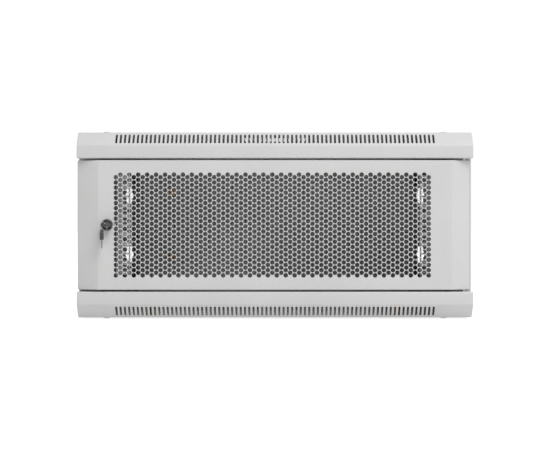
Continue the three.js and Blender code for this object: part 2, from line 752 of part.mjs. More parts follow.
function lockCore() {
  const half = CAM_SQUARE / 2;
  const plug = turned(CORE_R, CORE_FRONT, LOCK_BODY_BACK);
  const tail = box(-half, half, LOCK_BODY_BACK - 1, LOCK_BODY_BACK + CAM_TAIL, -half, half);
  const wayX = BLADE_THICK / 2 + GAP;
  const wayZ = BLADE_WIDTH / 2 + GAP;
  const keyway = box(-wayX, wayX, CORE_FRONT - 1, KEY_Y + BLADE_LENGTH + 2, -wayZ, wayZ);
  const screwHole = turned(CAM_SCREW_HOLE_R, LOCK_BODY_BACK - 3, CAM_Y + CUT_REACH, SMALL_ROUND);
  return cut(join(plug, tail), keyway, screwHole);
}

function lockCam() {
  const half = CAM_WIDTH / 2;
  const outline = new THREE.Shape();
  outline.absarc(0, 0, half, Math.PI, Math.PI * 2, false);
  outline.lineTo(CAM_TIP, CAM_LENGTH - CAM_CORNER);
  outline.lineTo(CAM_TIP - CAM_CORNER, CAM_LENGTH);
  outline.lineTo(CAM_CORNER - CAM_TIP, CAM_LENGTH);
  outline.lineTo(-CAM_TIP, CAM_LENGTH - CAM_CORNER);
  const hole = CAM_SQUARE / 2 + GAP;
  const square = box(-hole, hole, CAM_Y - CUT_REACH, CAM_Y + CUT_REACH, -hole, hole);
  return cut(alongY(outline, CAM_Y, CAM_Y + CAM_THICK), square);
}

function camScrew() {
  const headFace = LOCK_BODY_BACK + CAM_TAIL + 0.5;
  const head = turned(CAM_SCREW_HEAD_R, headFace, headFace + CAM_SCREW_HEAD, PIN_ROUND);
  const shank = turned(CAM_SCREW_SHANK_R, LOCK_BODY_BACK - 2, headFace + 1, SMALL_ROUND);
  return join(head, shank);
}

// --- keys, drawn with the blade's shoulder at the origin and the blade along +Y -------------------

function keyBlade() {
  const halfT = BLADE_THICK / 2;
  const halfW = BLADE_WIDTH / 2;
  const teeth = [];
  for (let y = BLADE_LENGTH - TOOTH_PITCH; y > TOOTH_PITCH / 2; y -= TOOTH_PITCH) {
    teeth.push([y, halfW], [y - TOOTH_PITCH / 2, halfW - TOOTH_DEPTH]);
  }
  const outline = shapeFrom([
    [-BLADE_ROOT, -halfW],
    [BLADE_LENGTH - TOOTH_PITCH, -halfW],
    [BLADE_LENGTH, -1],
    ...teeth,
    [-BLADE_ROOT, halfW - 0.5],
  ]);
  return alongX(outline, -halfT, halfT);
}

function keyBow() {
  const half = BOW_WIDTH / 2;
  const outline = new THREE.Shape();
  outline.moveTo(0, BOW_CORNER - half);
  outline.lineTo(0, half - BOW_CORNER);
  outline.lineTo(-BOW_CORNER, half);
  outline.lineTo(half - BOW_LENGTH, half);
  outline.absarc(half - BOW_LENGTH, 0, half, Math.PI / 2, (Math.PI * 3) / 2, false);
  outline.lineTo(-BOW_CORNER, -half);
  const bow = alongX(outline, -BOW_THICK / 2, BOW_THICK / 2);
  const eyeY = BOW_HOLE_INSET - BOW_LENGTH;
  const eye = drill(BOW_HOLE_R, [0, eyeY, 0], AXIS_X, FINE_ROUND);
  const pocketX = BLADE_THICK / 2 + GAP;
  const pocketZ = BLADE_WIDTH / 2 + GAP;
  return cut(bow, eye, box(-pocketX, pocketX, -BLADE_ROOT - GAP, 1, -pocketZ, pocketZ));
}

function keyRing() {
  const geometry = new THREE.TorusGeometry(RING_R, RING_WIRE_R, 5, 24);
  geometry.rotateX(Math.PI / 2);
  return solidFrom(geometry);
}

// --- small parts --------------------------------------------------------------------------------

// An earthing stud with its flange, standing on the plane z = 0.
function earthStud() {
  const profile = [
    [0, 0],
    [STUD_FLANGE_R, 0],
    [STUD_FLANGE_R, STUD_FLANGE],
    [STUD_NUT_R, STUD_FLANGE],
    [STUD_NUT_R, STUD_NUT_TOP],
    [STUD_R, STUD_NUT_TOP],
    [STUD_R, STUD_LENGTH],
    [0, STUD_LENGTH],
  ];
  const geometry = new THREE.LatheGeometry(profile.map((point) => new THREE.Vector2(...point)), 12);
  geometry.rotateX(Math.PI / 2);
  return solidFrom(geometry);
}

// --- assembly -----------------------------------------------------------------------------------

const BOTH_SIDES = [['left', -1], ['right', 1]];

const cabinet = new THREE.Group();

cabinet.add(piece('top_panel', coverSolid(HINGE_X, true), paint()));

const floorGroup = new THREE.Group();
floorGroup.rotation.y = Math.PI;
floorGroup.add(piece('bottom_panel', coverSolid(-HINGE_X, false), paint()));
floorGroup.add(piece('bottom_cable_cover', cableCover(), paint()));
cabinet.add(floorGroup);
cabinet.add(piece('top_cable_cover', cableCover(), paint()));

// A screw through the roof (end +1) or the floor (end -1), its head a little off the sheet.
function addCoverScrew(name, size, x, y, end) {
  const screw = piece(name, buttonScrew(size), zinc());
  screw.rotation.y = end > 0 ? 0 : Math.PI;
  cabinet.add(placed(screw, x, y, end * (HALF_H + REST_GAP)));
}

function addRailScrew(name, side, z) {
  const screw = piece(name, buttonScrew(RAIL_SCREW), zinc());
  screw.rotation.y = (-side * Math.PI) / 2;
  const headX = RAIL_OUTER - FRAME_SHEET - REST_GAP;
  cabinet.add(placed(screw, side * headX, RAIL_SCREW_Y, z));
}

for (const [name, side] of BOTH_SIDES) {
  cabinet.add(piece(`${name}_front_post`, frontPost(side), paint()));
  cabinet.add(piece(`${name}_rear_post`, rearPost(side), paint()));
  cabinet.add(piece(`${name}_mounting_rail`, mountingRail(side), zinc()));
  cabinet.add(piece(`${name}_side_panel`, sidePanel(side), paint()));
  for (const [level, end] of [['upper', 1], ['lower', -1]]) {
    const bracket = piece(`${name}_${level}_bracket`, depthBracket(side), zinc());
    cabinet.add(placed(bracket, 0, 0, end * BRACKET_Z));
    addRailScrew(`${name}_${level}_rail_screw`, side, end * BRACKET_Z);
  }
  for (const [level, end] of [['top', 1], ['bottom', -1]]) {
    addCoverScrew(`${name}_front_${level}_screw`, COVER_SCREW, side * SCREW_X, FRONT_SCREW_Y, end);
    addCoverScrew(`${name}_rear_${level}_screw`, COVER_SCREW, side * SCREW_X, REAR_SCREW_Y, end);
    addCoverScrew(`${level}_cover_${name}_screw`, CABLE_SCREW, side * CABLE_SCREW_X, CABLE_HOLE_Y, end);
  }
  for (const [place, y] of [['front', LATCH_FRONT_Y], ['rear', LATCH_REAR_Y]]) {
    cabinet.add(placed(piece(`${name}_${place}_latch`, slideLatch(side), plastic()), 0, y, 0));
  }
}

cabinet.add(piece('rear_panel', rearPanel(), paint()));

function addWallStud(name, z) {
  const stud = piece(name, earthStud(), brass());
  stud.rotation.x = Math.PI / 2;
  cabinet.add(placed(stud, WALL_STUD_X, -SHEET - REST_GAP, z));
}

function addFloorStud(name, x) {
  const stud = piece(name, earthStud(), brass());
  cabinet.add(placed(stud, x, FLOOR_STUD_Y, -HALF_H + SHEET + REST_GAP));
}

addWallStud('rear_upper_earth_stud', WALL_STUD_Z);
addWallStud('rear_lower_earth_stud', -WALL_STUD_Z);
addFloorStud('floor_left_earth_stud', -FLOOR_STUD_X);
addFloorStud('floor_right_earth_stud', FLOOR_STUD_X);

const door = new THREE.Group();
door.add(piece('door_panel', doorPanel(), paint()));
door.add(piece('door_left_stiffener', stiffener(STIFFENER_LEFT_X, true), paint()));
door.add(piece('door_right_stiffener', stiffener(STIFFENER_RIGHT_X, false), paint()));
door.add(piece('hinge_top_bracket', hingeBracket(1), zinc()));
door.add(piece('hinge_bottom_bracket', hingeBracket(-1), zinc()));
door.add(placed(piece('hinge_top_pin', upperHingePin(), zinc()), HINGE_X, HINGE_Y, 0));
door.add(placed(piece('hinge_bottom_pin', lowerHingePin(), zinc()), HINGE_X, HINGE_Y, 0));
door.add(placed(piece('hinge_spring', hingeSpring(), zinc()), HINGE_X, HINGE_Y, 0));
cabinet.add(door);

const lock = new THREE.Group();
lock.position.x = LOCK_X;
lock.add(piece('lock_body', lockBody(), chrome()));
lock.add(piece('lock_nut', lockNut(), zinc()));
lock.add(piece('lock_cam', lockCam(), zinc()));
lock.add(piece('cam_screw', camScrew(), zinc()));
door.add(lock);

// The plug stands with its keyway level, and the key in it lies flat.
const plug = new THREE.Group();
plug.rotation.y = Math.PI / 2;
plug.add(piece('lock_core', lockCore(), chrome()));
plug.add(placed(piece('key_blade', keyBlade(), zinc()), 0, KEY_Y, 0));
plug.add(placed(piece('key_bow', keyBow(), plastic()), 0, KEY_Y, 0));
lock.add(plug);

// The ring goes through the key's eye and round its edge; the spare key hangs from it, edge outwards.
lock.add(placed(piece('key_ring', keyRing(), zinc()), RING_X, RING_Y, RING_Z));
const spareKey = new THREE.Group();
spareKey.rotation.x = -Math.PI / 2;
const spareEyeZ = RING_Z - RING_R - SPARE_EYE_DROP;
spareKey.position.set(RING_X, RING_Y, spareEyeZ - (BOW_LENGTH - BOW_HOLE_INSET));
spareKey.add(piece('spare_key_blade', keyBlade(), zinc()));
spareKey.add(piece('spare_key_bow', keyBow(), plastic()));
lock.add(spareKey);

export default cabinet;
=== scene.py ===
"""Looks of a wall-mounted 19-inch network cabinet: grey powder-coated sheet, perforated door, lock with keys.

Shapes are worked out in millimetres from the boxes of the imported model's nodes and turned into metres when
a piece is made. +X is to the right, the door faces -Y and +Z is up.
"""

import json
import math

import bmesh
import bpy
from mathutils import Matrix, Vector


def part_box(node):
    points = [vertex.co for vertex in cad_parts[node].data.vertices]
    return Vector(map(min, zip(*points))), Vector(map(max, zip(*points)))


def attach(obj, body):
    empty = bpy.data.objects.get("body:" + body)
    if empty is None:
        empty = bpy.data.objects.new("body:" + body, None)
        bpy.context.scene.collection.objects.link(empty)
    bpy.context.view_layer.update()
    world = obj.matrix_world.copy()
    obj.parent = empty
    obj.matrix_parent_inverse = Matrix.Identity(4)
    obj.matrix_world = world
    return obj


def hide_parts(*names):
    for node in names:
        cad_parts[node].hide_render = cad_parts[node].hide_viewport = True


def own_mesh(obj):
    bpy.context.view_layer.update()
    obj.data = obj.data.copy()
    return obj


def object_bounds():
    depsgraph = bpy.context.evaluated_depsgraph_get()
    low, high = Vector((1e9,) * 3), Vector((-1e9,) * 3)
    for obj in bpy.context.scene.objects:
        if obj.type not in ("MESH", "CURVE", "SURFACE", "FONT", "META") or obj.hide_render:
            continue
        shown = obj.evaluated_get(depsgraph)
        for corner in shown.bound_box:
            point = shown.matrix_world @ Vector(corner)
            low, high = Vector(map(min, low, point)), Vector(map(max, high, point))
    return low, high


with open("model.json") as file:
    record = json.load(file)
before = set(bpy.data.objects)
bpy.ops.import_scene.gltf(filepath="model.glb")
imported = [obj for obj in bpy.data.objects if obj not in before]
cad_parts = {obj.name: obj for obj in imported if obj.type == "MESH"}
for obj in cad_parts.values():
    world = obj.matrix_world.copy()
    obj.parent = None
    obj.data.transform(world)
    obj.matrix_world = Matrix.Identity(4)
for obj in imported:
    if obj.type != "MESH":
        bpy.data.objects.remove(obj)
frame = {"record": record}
cad_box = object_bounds()

MM = 0.001
RECORD = frame["record"]
BODY_OF = {node: body for body, nodes in RECORD["behaviour"]["bodies"].items() for node in nodes}
SIDES = {"left": -1, "right": 1}


def span(node):
    """Lowest and highest corners of a CAD node in millimetres."""
    low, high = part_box(node)
    return Vector(low) / MM, Vector(high) / MM


def middle(node):
    low, high = span(node)
    return (low + high) / 2


# Sheet metal
SHEET = 1.2
FRAME_SHEET = 1.5
BEND = 2.2
EDGE_ROUND = 1.3
BEND_STEPS = 5
TRAY_CORNER = 0.6
TRAY_RIM = 0.3
FIT = 0.4
CUT_REACH = 5
SMOOTH_BELOW = 35
MERGE_DISTANCE = 0.004

# Roof and floor covers
CHAMFER = 20.5
LIP_DEPTH = 23
COVER_INSIDE_X = span("top_panel")[1].x - SHEET - FIT
VENT_COUNT = 75
VENT_PITCH = 6.5
VENT_WIDTH = 3.3
VENT_LENGTH = 20
FAN_SLOTS = 13
FAN_PITCH = 8
FAN_WIDTH = 4
FAN_LENGTH = 44
FAN_ROW = 27
CABLE_WIDTH = 200
CABLE_DEPTH = 50
CABLE_Y = middle("top_cable_cover").y
CABLE_CORNER = 3
CABLE_SCREW_X = middle("top_cover_right_screw").x
CABLE_SCREW_HOLE_R = 2.4
SCREW_HOLE_R = 3.3

# Frame. The trimming cuts end outside the cabinet, at the TRIM distances.
TRIM_X = 320
TRIM_FRONT = -460
TRIM_BACK = 10
TRIM_Z = 160
TRIM_STEP = 0.2
POST_LIP = 10
POST_INNER = 270
CAM_WINDOW = 13.5
CAM_MARGIN = 6
REAR_POST_RETURN = 30
REAR_POST_LIP = 12
KEYHOLE_X = 259.5
KEYHOLE_Z = 52.3
KEYHOLE_R = 7
KEYHOLE_SLOT_WIDTH = 9
KEYHOLE_SLOT_LENGTH = 29.5
BRACKET_SLOT_AHEAD = 32
BRACKET_SLOT_BACK = -80
BRACKET_SLOT_HEIGHT = 7

# Equipment rails
RACK_UNIT = 44.45
RACK_UNITS = 4
RAIL_HOLE_X = 232.55
RAIL_HOLE = 9.5
RAIL_HOLE_STEP = 15.875

# Side panels and slide latches
LATCH_TRAVEL = 8
LATCH_PLATE = 3
LATCH_HEIGHT = 22
BOLT_WIDTH = 12
THUMB_WIDTH = 18
THUMB_HEIGHT = 9
THUMB_Z = 78
THUMB_GROOVES = 3
THUMB_GROOVE_PITCH = 2.2
THUMB_GROOVE_INSET = 1.5
LATCH_CORNER = 1.5
LATCH_EDGE = 0.5

# Door
DOOR_FRONT = span("door_panel")[0].y
DOOR_BEVEL = 12
DOOR_FLAT_X = 267.5
HOLE_R = 3.55
HOLE_PITCH = 7.8
HOLE_COLUMNS = 71
HOLE_ROWS = 20
FIELD_X = -4.1
HOLE_SIDES = 18
WELD_R = 2.4
WELD_DEPTH = 0.12
WELD_Z = 44.6
CHANNEL_BEND = 1.8

# Hinges
HINGE_HOLE_R = 2.95
PIN_R = 2.5
PIN_ELBOW = 4
LEVER_CAP = 1.6
PIN_TRAVEL = 8
PIN_EDGE = 0.8
COLLAR_R = 4
COLLAR_TOP = 2
COLLAR_EDGE = 0.3
SPRING_R = 3.5
SPRING_WIRE_R = 0.45
SPRING_TURNS = 7

# Screws: head radius and height, shank radius and length
COVER_SCREW = (5.8, 2.4, 2.7, 12)
CABLE_SCREW = (4, 2.2, 1.9, 7)
RAIL_SCREW = (6, 3.6, 2.7, 12)

# Earth studs
STUD_FLANGE_R = 7
STUD_FLANGE = 1.6
STUD_EDGE = 0.4
STUD_NUT_R = 4.6
STUD_NUT = 4
STUD_R = 2.6
STUD_CORE_R = 2
STUD_LENGTH = 13
STUD_TIP = 0.6
STUD_THREAD = (0.8, 0.3)

# Lock and keys
LOCK = middle("lock_body")
LOCK_R = 8
LOCK_HEAD_R = 9
LOCK_HOLE_R = LOCK_R + FIT
LOCK_THREAD = (1.2, 0.4)
CORE_R = 5
KEYWAY_DEPTH = 14
CAM_SQUARE = 6
CAM_THICK = 2
CAM_EDGE = 0.25
CAM_EDGE_SCALE = 0.97
CAM_TIP = 0.8
CAM_CORNER = 2.5
CAM_SCREW_HEAD = 2.5
CAM_SCREW_SHANK_R = 1.6
CAM_SCREW_HOLE_R = 2
BLADE_WIDTH = 7
BLADE_THICK = 1.8
BLADE_LENGTH = 13
BLADE_ROOT = 4
BLADE_TIP = 3
BIT_START = 2.2
BIT_PITCH = 2.1
BITTING = (1.4, 0.8, 1.8, 1.1)
BLADE_GROOVE = 0.5
BOW_WIDTH = 17
BOW_LENGTH = 15.6
BOW_THICK = 4.6
BOW_HOLE_R = 3
BOW_HOLE_INSET = 6
BOW_CORNER = 3
BOW_ROUND = 0.32
BOW_COUNTERSINK = 0.8
BOW_RECESS_Y = -3.6
BOW_RECESS_WIDTH = 3.2
BOW_RECESS_MARGIN = 3
BOW_RECESS_CORNER = 1.4
BOW_RECESS_DEPTH = 0.4

# Studio
CAMERA_DISTANCE = 2.5
LENS = 108.25
FLOOR_REACH = 30.0
FLOOR_DROP = 0.0005
FILL = 0.3
FILL_FROM_RIGHT = 0.2
FILL_FROM_ABOVE = 0.55
BACKGROUND_WHITE = 1.02
FLOOR_WHITE = 0.6
FLOOR_GLOW = 0.75
FLOOR_LIGHT = 0.36
KEY_AZIMUTH = 30
KEY_ELEVATION = 50
KEY_DISTANCE = 6.0
KEY_SIZE = 3.0
KEY_POWER = 186


# --- outlines ---


def arc(centre, radius, start, end, steps):
    """Points on an arc, angles in degrees, both ends included."""
    points = []
    for i in range(steps + 1):
        angle = math.radians(start + (end - start) * i / steps)
        points.append((centre[0] + radius * math.cos(angle), centre[1] + radius * math.sin(angle)))
    return points


def circle(centre, radius, steps):
    return arc(centre, radius, 0, 360 * (steps - 1) / steps, steps - 1)


def round_rectangle(centre, width, height, radius, steps=5):
    points = []
    for turn, (sx, sy) in enumerate(((1, 1), (-1, 1), (-1, -1), (1, -1))):
        corner = (centre[0] + sx * (width / 2 - radius), centre[1] + sy * (height / 2 - radius))
        points += arc(corner, radius, 90 * turn, 90 * turn + 90, steps)
    return points


def long_slot(centre, width, length, steps=8):
    """A slot with round ends, long in its second direction."""
    reach = length / 2 - width / 2
    top = arc((centre[0], centre[1] + reach), width / 2, 0, 180, steps)
    bottom = arc((centre[0], centre[1] - reach), width / 2, 180, 360, steps)
    return top + bottom


def quarter_round(radius, steps):
    """(inset, depth) pairs round a convex edge, from its flat face to its side."""
    angles = [math.radians(90 * i / steps) for i in range(steps + 1)]
    return [(radius * (1 - math.sin(angle)), radius * (1 - math.cos(angle))) for angle in angles]


def bend_path(path, thickness, radius):
    """Stations along a bent sheet's skin: (point, normal into the sheet), with an arc at each bend.

    The sheet lies on the right-hand side of the path, and radius is the outer radius of a bend.
    """
    stations = []
    points = [Vector(p) for p in path]
    for i, point in enumerate(points):
        before = (point - points[i - 1]).normalized() if i else None
        after = (points[i + 1] - point).normalized() if i + 1 < len(points) else None
        if before is None or after is None:
            along = after or before
            stations.append((point, Vector((along.y, -along.x))))
            continue
        turn = math.atan2(before.x * after.y - before.y * after.x, before.dot(after))
        skin_radius = radius if turn < 0 else max(radius - thickness, 0.2)
        reach = skin_radius * math.tan(abs(turn) / 2)
        steps = max(2, round(abs(turn) / math.radians(90) * BEND_STEPS))
        start = point - before * reach
        side = -1 if turn < 0 else 1
        centre = start + Vector((-before.y, before.x)) * side * skin_radius
        for k in range(steps + 1):
            angle = turn * k / steps
            spoke = Matrix.Rotation(angle, 2) @ (start - centre)
            stations.append((centre + spoke, spoke.normalized() * side))
    return stations


def offset(stations, distance):
    return [tuple(point + normal * distance) for point, normal in stations]


def bent_outline(path, thickness, radius=BEND):
    stations = bend_path(path, thickness, radius)
    return offset(stations, 0) + offset(stations, thickness)[::-1]


def on_side(path, side):
    """A path drawn for the right-hand side, mirrored for the left and still travelled the same way round."""
    placed = [(side * x, y) for x, y in path]
    return placed if side > 0 else placed[::-1]


# --- solids: (points, faces) in millimetres ---

PLACE = {
    "X": lambda a, b, c: (c, a, b),
    "Y": lambda a, b, c: (a, c, b),
    "Z": lambda a, b, c: (a, b, c),
}


def loft(levels, axis="Z"):
    """Joins outlines with equal point counts, each given as (outline, height), into one closed solid."""
    count = len(levels[0][0])
    points = [PLACE[axis](a, b, height) for outline, height in levels for a, b in outline]
    faces = [tuple(range(count)), tuple(range((len(levels) - 1) * count, len(levels) * count))]
    for level in range(len(levels) - 1):
        base = level * count
        for i in range(count):
            j = (i + 1) % count
            faces.append((base + i, base + j, base + count + j, base + count + i))
    return points, faces


def prism(outline, low, high, axis="Z"):
    return loft([(outline, low), (outline, high)], axis)


def block(low, high):
    outline = [(low[0], low[1]), (high[0], low[1]), (high[0], high[1]), (low[0], high[1])]
    return prism(outline, low[2], high[2])


def rod(centre, radius, low, high, axis="Z", steps=32):
    return prism(circle(centre, radius, steps), low, high, axis)


def hole(centre, radius, level, axis="Z", steps=24):
    """A cutter for a round hole through the sheet that lies at the given level."""
    return rod(centre, radius, level - CUT_REACH, level + CUT_REACH, axis, steps)


def lathe(profile, steps=32, closed=False):
    """Turns (radius, height) points round Z. The profile starts and ends on the axis, or closes on itself."""
    points, rings, faces = [], [], []
    for radius, height in profile:
        count = 1 if radius == 0 else steps
        rings.append([len(points) + i for i in range(count)])
        for i in range(count):
            angle = 2 * math.pi * i / steps
            points.append((radius * math.cos(angle), radius * math.sin(angle), height))
    if closed:
        rings.append(rings[0])
    for lower, upper in zip(rings, rings[1:]):
        for i in range(steps):
            j = (i + 1) % steps
            corners = ((lower, i), (lower, j), (upper, j), (upper, i))
            faces.append(tuple(dict.fromkeys(ring[k % len(ring)] for ring, k in corners)))
    return points, [face for face in faces if len(face) > 2]


def tube(path, radius, steps=12):
    """A round wire along a path of 3-D points."""
    points, faces = [], []
    path = [Vector(p) for p in path]
    count = len(path)
    normal = None
    for i, point in enumerate(path):
        along = (path[min(i + 1, count - 1)] - path[max(i - 1, 0)]).normalized()
        if normal is None:
            normal = along.orthogonal().normalized()
        normal = (normal - along * normal.dot(along)).normalized()
        other = along.cross(normal)
        for k in range(steps):
            angle = 2 * math.pi * k / steps
            points.append(tuple(point + (normal * math.cos(angle) + other * math.sin(angle)) * radius))
    for base in range(0, (count - 1) * steps, steps):
        for k in range(steps):
            n = (k + 1) % steps
            faces.append((base + k, base + n, base + steps + n, base + steps + k))
    faces.append(tuple(range(steps)))
    faces.append(tuple(range((count - 1) * steps, count * steps)))
    return points, faces


def moved(solid, x=0.0, y=0.0, z=0.0, turn=None):
    """The solid turned by turn = (degrees, axis) and then moved."""
    matrix = Matrix.Translation((x, y, z))
    if turn:
        matrix = matrix @ Matrix.Rotation(math.radians(turn[0]), 4, turn[1])
    return [tuple(matrix @ Vector(p)) for p in solid[0]], solid[1]


def mirrored(solid, axis):
    flip = Matrix.Diagonal([-1 if name == axis else 1 for name in "XYZ"])
    return [tuple(flip @ Vector(p)) for p in solid[0]], solid[1]


def together(*solids):
    """Several separate solids as one."""
    points, faces = [], []
    for more_points, more_faces in solids:
        start = len(points)
        points += more_points
        faces += [tuple(start + i for i in face) for face in more_faces]
    return points, faces


def mesh_of(solid, name):
    mesh = bpy.data.meshes.new(name)
    mesh.from_pydata(solid[0], [], solid[1])
    work = bmesh.new()
    work.from_mesh(mesh)
    bmesh.ops.recalc_face_normals(work, faces=work.faces)
    work.to_mesh(mesh)
    work.free()
    return mesh


def combine(solid, other, operation):
    target = bpy.data.objects.new("target", mesh_of(solid, "target"))
    tool = bpy.data.objects.new("tool", mesh_of(other, "tool"))
    for thing in (target, tool):
        bpy.context.scene.collection.objects.link(thing)
    modifier = target.modifiers.new("combine", "BOOLEAN")
    modifier.solver = "MANIFOLD"
    modifier.operation = operation
    modifier.object = tool
    result = target.evaluated_get(bpy.context.evaluated_depsgraph_get()).to_mesh()
    points = [tuple(v.co) for v in result.vertices]
    faces = [tuple(polygon.vertices) for polygon in result.polygons]
    for thing in (target, tool):
        mesh = thing.data
        bpy.data.objects.remove(thing)
        bpy.data.meshes.remove(mesh)
    return points, faces


def cut(solid, *tools):
    return combine(solid, together(*tools), "DIFFERENCE")


def join(solid, *others):
    for other in others:
        solid = combine(solid, other, "UNION")
    return solid


# --- materials ---


class Nodes:
    """Short names for the shader nodes that the materials share."""

    def __init__(self, name):
        self.material = bpy.data.materials.new(name)
        self.material.use_nodes = True
        self.tree = self.material.node_tree
        self.shader = self.tree.nodes["Principled BSDF"]
        self.place = self.tree.nodes.new("ShaderNodeTexCoord").outputs["Object"]

    def link(self, output, socket):
        self.tree.links.new(output, socket)

    def set(self, **values):
        for key, value in values.items():
            self.shader.inputs[key.replace("_", " ")].default_value = value

    def noise(self, per_metre, detail=2.0, roughness=0.5, stretch=(1, 1, 1)):
        scale = self.tree.nodes.new("ShaderNodeMapping")
        scale.inputs["Scale"].default_value = stretch
        self.link(self.place, scale.inputs["Vector"])
        node = self.tree.nodes.new("ShaderNodeTexNoise")
        node.inputs["Scale"].default_value = per_metre
        node.inputs["Detail"].default_value = detail
        node.inputs["Roughness"].default_value = roughness
        self.link(scale.outputs["Vector"], node.inputs["Vector"])
        return node.outputs["Fac"]

    def spread(self, value, low, high):
        """Maps a noise value's usual range, 0.3 to 0.7, onto low..high."""
        node = self.tree.nodes.new("ShaderNodeMapRange")
        node.inputs["From Min"].default_value = 0.3
        node.inputs["From Max"].default_value = 0.7
        node.inputs["To Min"].default_value = low
        node.inputs["To Max"].default_value = high
        self.link(value, node.inputs["Value"])
        return node.outputs["Result"]

    def blend(self, factor, first, second):
        node = self.tree.nodes.new("ShaderNodeMix")
        node.data_type = "RGBA"
        colour_sockets = [s for s in node.inputs if s.type == "RGBA"]
        for socket, value in zip(colour_sockets, (first, second)):
            if isinstance(value, bpy.types.NodeSocket):
                self.link(value, socket)
            else:
                socket.default_value = (*value, 1)
        self.link(factor, node.inputs[0])
        return [s for s in node.outputs if s.type == "RGBA"][0]

    def bump(self, height, depth, below=None):
        node = self.tree.nodes.new("ShaderNodeBump")
        node.inputs["Distance"].default_value = depth
        self.link(height, node.inputs["Height"])
        if below:
            self.link(below, node.inputs["Normal"])
        self.link(node.outputs["Normal"], self.shader.inputs["Normal"])
        return node.outputs["Normal"]


def powder_coat(name, colour):
    """Fine-texture powder paint: an even colour with faint clouds, orange peel and a satin sheen."""
    n = Nodes(name)
    darker = tuple(c * 0.965 for c in colour)
    lighter = tuple(min(1.0, c * 1.02) for c in colour)
    clouds = n.blend(n.spread(n.noise(9, 3), 0, 1), darker, lighter)
    speck = n.blend(n.spread(n.noise(1400, 1), 0, 0.16), clouds, tuple(c * 0.8 for c in colour))
    n.link(speck, n.shader.inputs["Base Color"])
    n.link(n.spread(n.noise(22, 4), 0.42, 0.52), n.shader.inputs["Roughness"])
    grain = n.bump(n.noise(1100, 2, 0.6), 0.00005)
    n.bump(n.noise(320, 1), 0.00006, grain)
    n.set(IOR=1.5)
    return n.material


def plated(name, colour, roughness, grain=1500):
    """Plated steel: crystalline patches of slightly different brightness and roughness."""
    n = Nodes(name)
    patches = n.blend(n.spread(n.noise(180, 3, 0.7), 0, 1), tuple(c * 0.86 for c in colour), colour)
    n.link(patches, n.shader.inputs["Base Color"])
    n.link(n.spread(n.noise(420, 3, 0.7), roughness * 0.75, roughness * 1.35), n.shader.inputs["Roughness"])
    n.bump(n.noise(grain, 2), 0.00002)
    n.set(Metallic=1.0)
    return n.material


def brushed(name, colour, roughness, stretch):
    """Metal with fine lines along the direction whose stretch is smallest."""
    n = Nodes(name)
    lines = n.noise(2600, 2, 0.6, stretch)
    shade = n.blend(n.spread(lines, 0, 1), tuple(c * 0.8 for c in colour), colour)
    n.link(shade, n.shader.inputs["Base Color"])
    n.link(n.spread(lines, roughness * 0.8, roughness * 1.4), n.shader.inputs["Roughness"])
    n.bump(lines, 0.00002)
    n.set(Metallic=1.0)
    return n.material


def moulded(name, colour, roughness):
    """Moulded plastic with a spark-eroded grain and slightly worn sheen."""
    n = Nodes(name)
    shade = n.blend(n.spread(n.noise(60, 3), 0, 1), colour, tuple(c * 1.5 + 0.004 for c in colour))
    n.link(shade, n.shader.inputs["Base Color"])
    n.link(n.spread(n.noise(150, 3), roughness - 0.08, roughness + 0.08), n.shader.inputs["Roughness"])
    n.bump(n.noise(2600, 1), 0.00004)
    return n.material


PAINT = powder_coat("powder_coat_light_grey", (0.625, 0.625, 0.622))
ZINC = plated("zinc_plate", (0.70, 0.71, 0.72), 0.32)
GALVANISED = plated("galvanised_sheet", (0.80, 0.81, 0.82), 0.42)
NICKEL = plated("black_nickel_plate", (0.23, 0.23, 0.235), 0.28, 3000)
BRASS = plated("earth_brass", (0.55, 0.36, 0.19), 0.35)
PLASTIC = moulded("black_plastic", (0.045, 0.045, 0.047), 0.45)
KEY_STEEL = brushed("key_steel", (0.42, 0.42, 0.43), 0.3, (1, 0.06, 0.06))
SPRING_STEEL = plated("spring_steel", (0.5, 0.5, 0.52), 0.3)
RING_STEEL = plated("ring_steel", (0.72, 0.72, 0.73), 0.35, 3000)


# --- pieces ---


def piece(name, solid, material, node):
    """Makes the piece that stands for a CAD node, moves with its body and takes the given material."""
    mesh = mesh_of(solid, name)
    mesh.transform(Matrix.Scale(MM, 4))
    work = bmesh.new()
    work.from_mesh(mesh)
    bmesh.ops.remove_doubles(work, verts=work.verts, dist=MERGE_DISTANCE * MM)
    for face in work.faces:
        face.smooth = True
    for edge in work.edges:
        edge.smooth = edge.is_manifold and edge.calc_face_angle(0) < math.radians(SMOOTH_BELOW)
    work.to_mesh(mesh)
    work.free()
    mesh.materials.append(material)
    made = bpy.data.objects.new(name, mesh)
    bpy.context.scene.collection.objects.link(made)
    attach(made, BODY_OF[node])
    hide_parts(node)
    return made


# --- roof and floor covers ---


def cover_vents(front, top):
    """Cutters for the row of slots in the sloped front, square to the slope."""
    first = -(VENT_COUNT - 1) * VENT_PITCH / 2
    slot = prism(long_slot((0, 0), VENT_WIDTH, VENT_LENGTH), -CUT_REACH, CUT_REACH)
    slot = moved(slot, turn=(45, "X"))
    y, z = front + CHAMFER / 2, top - CHAMFER / 2
    return [moved(slot, first + i * VENT_PITCH, y, z) for i in range(VENT_COUNT)]


def fan_slots(top, depth):
    slot = prism(long_slot((0, 0), FAN_WIDTH, FAN_LENGTH), top - 4, top + 4)
    first = -(FAN_SLOTS - 1) * FAN_PITCH / 2
    rows = (-depth / 2 - FAN_ROW, -depth / 2 + FAN_ROW)
    return [moved(slot, first + i * FAN_PITCH, y) for y in rows for i in range(FAN_SLOTS)]


def edge_levels(skin, reach):
    """Outlines that round a folded box's edge where its skin meets the flat end at height reach."""
    return [(offset(skin, inset), reach - depth) for inset, depth in quarter_round(EDGE_ROUND, BEND_STEPS)]


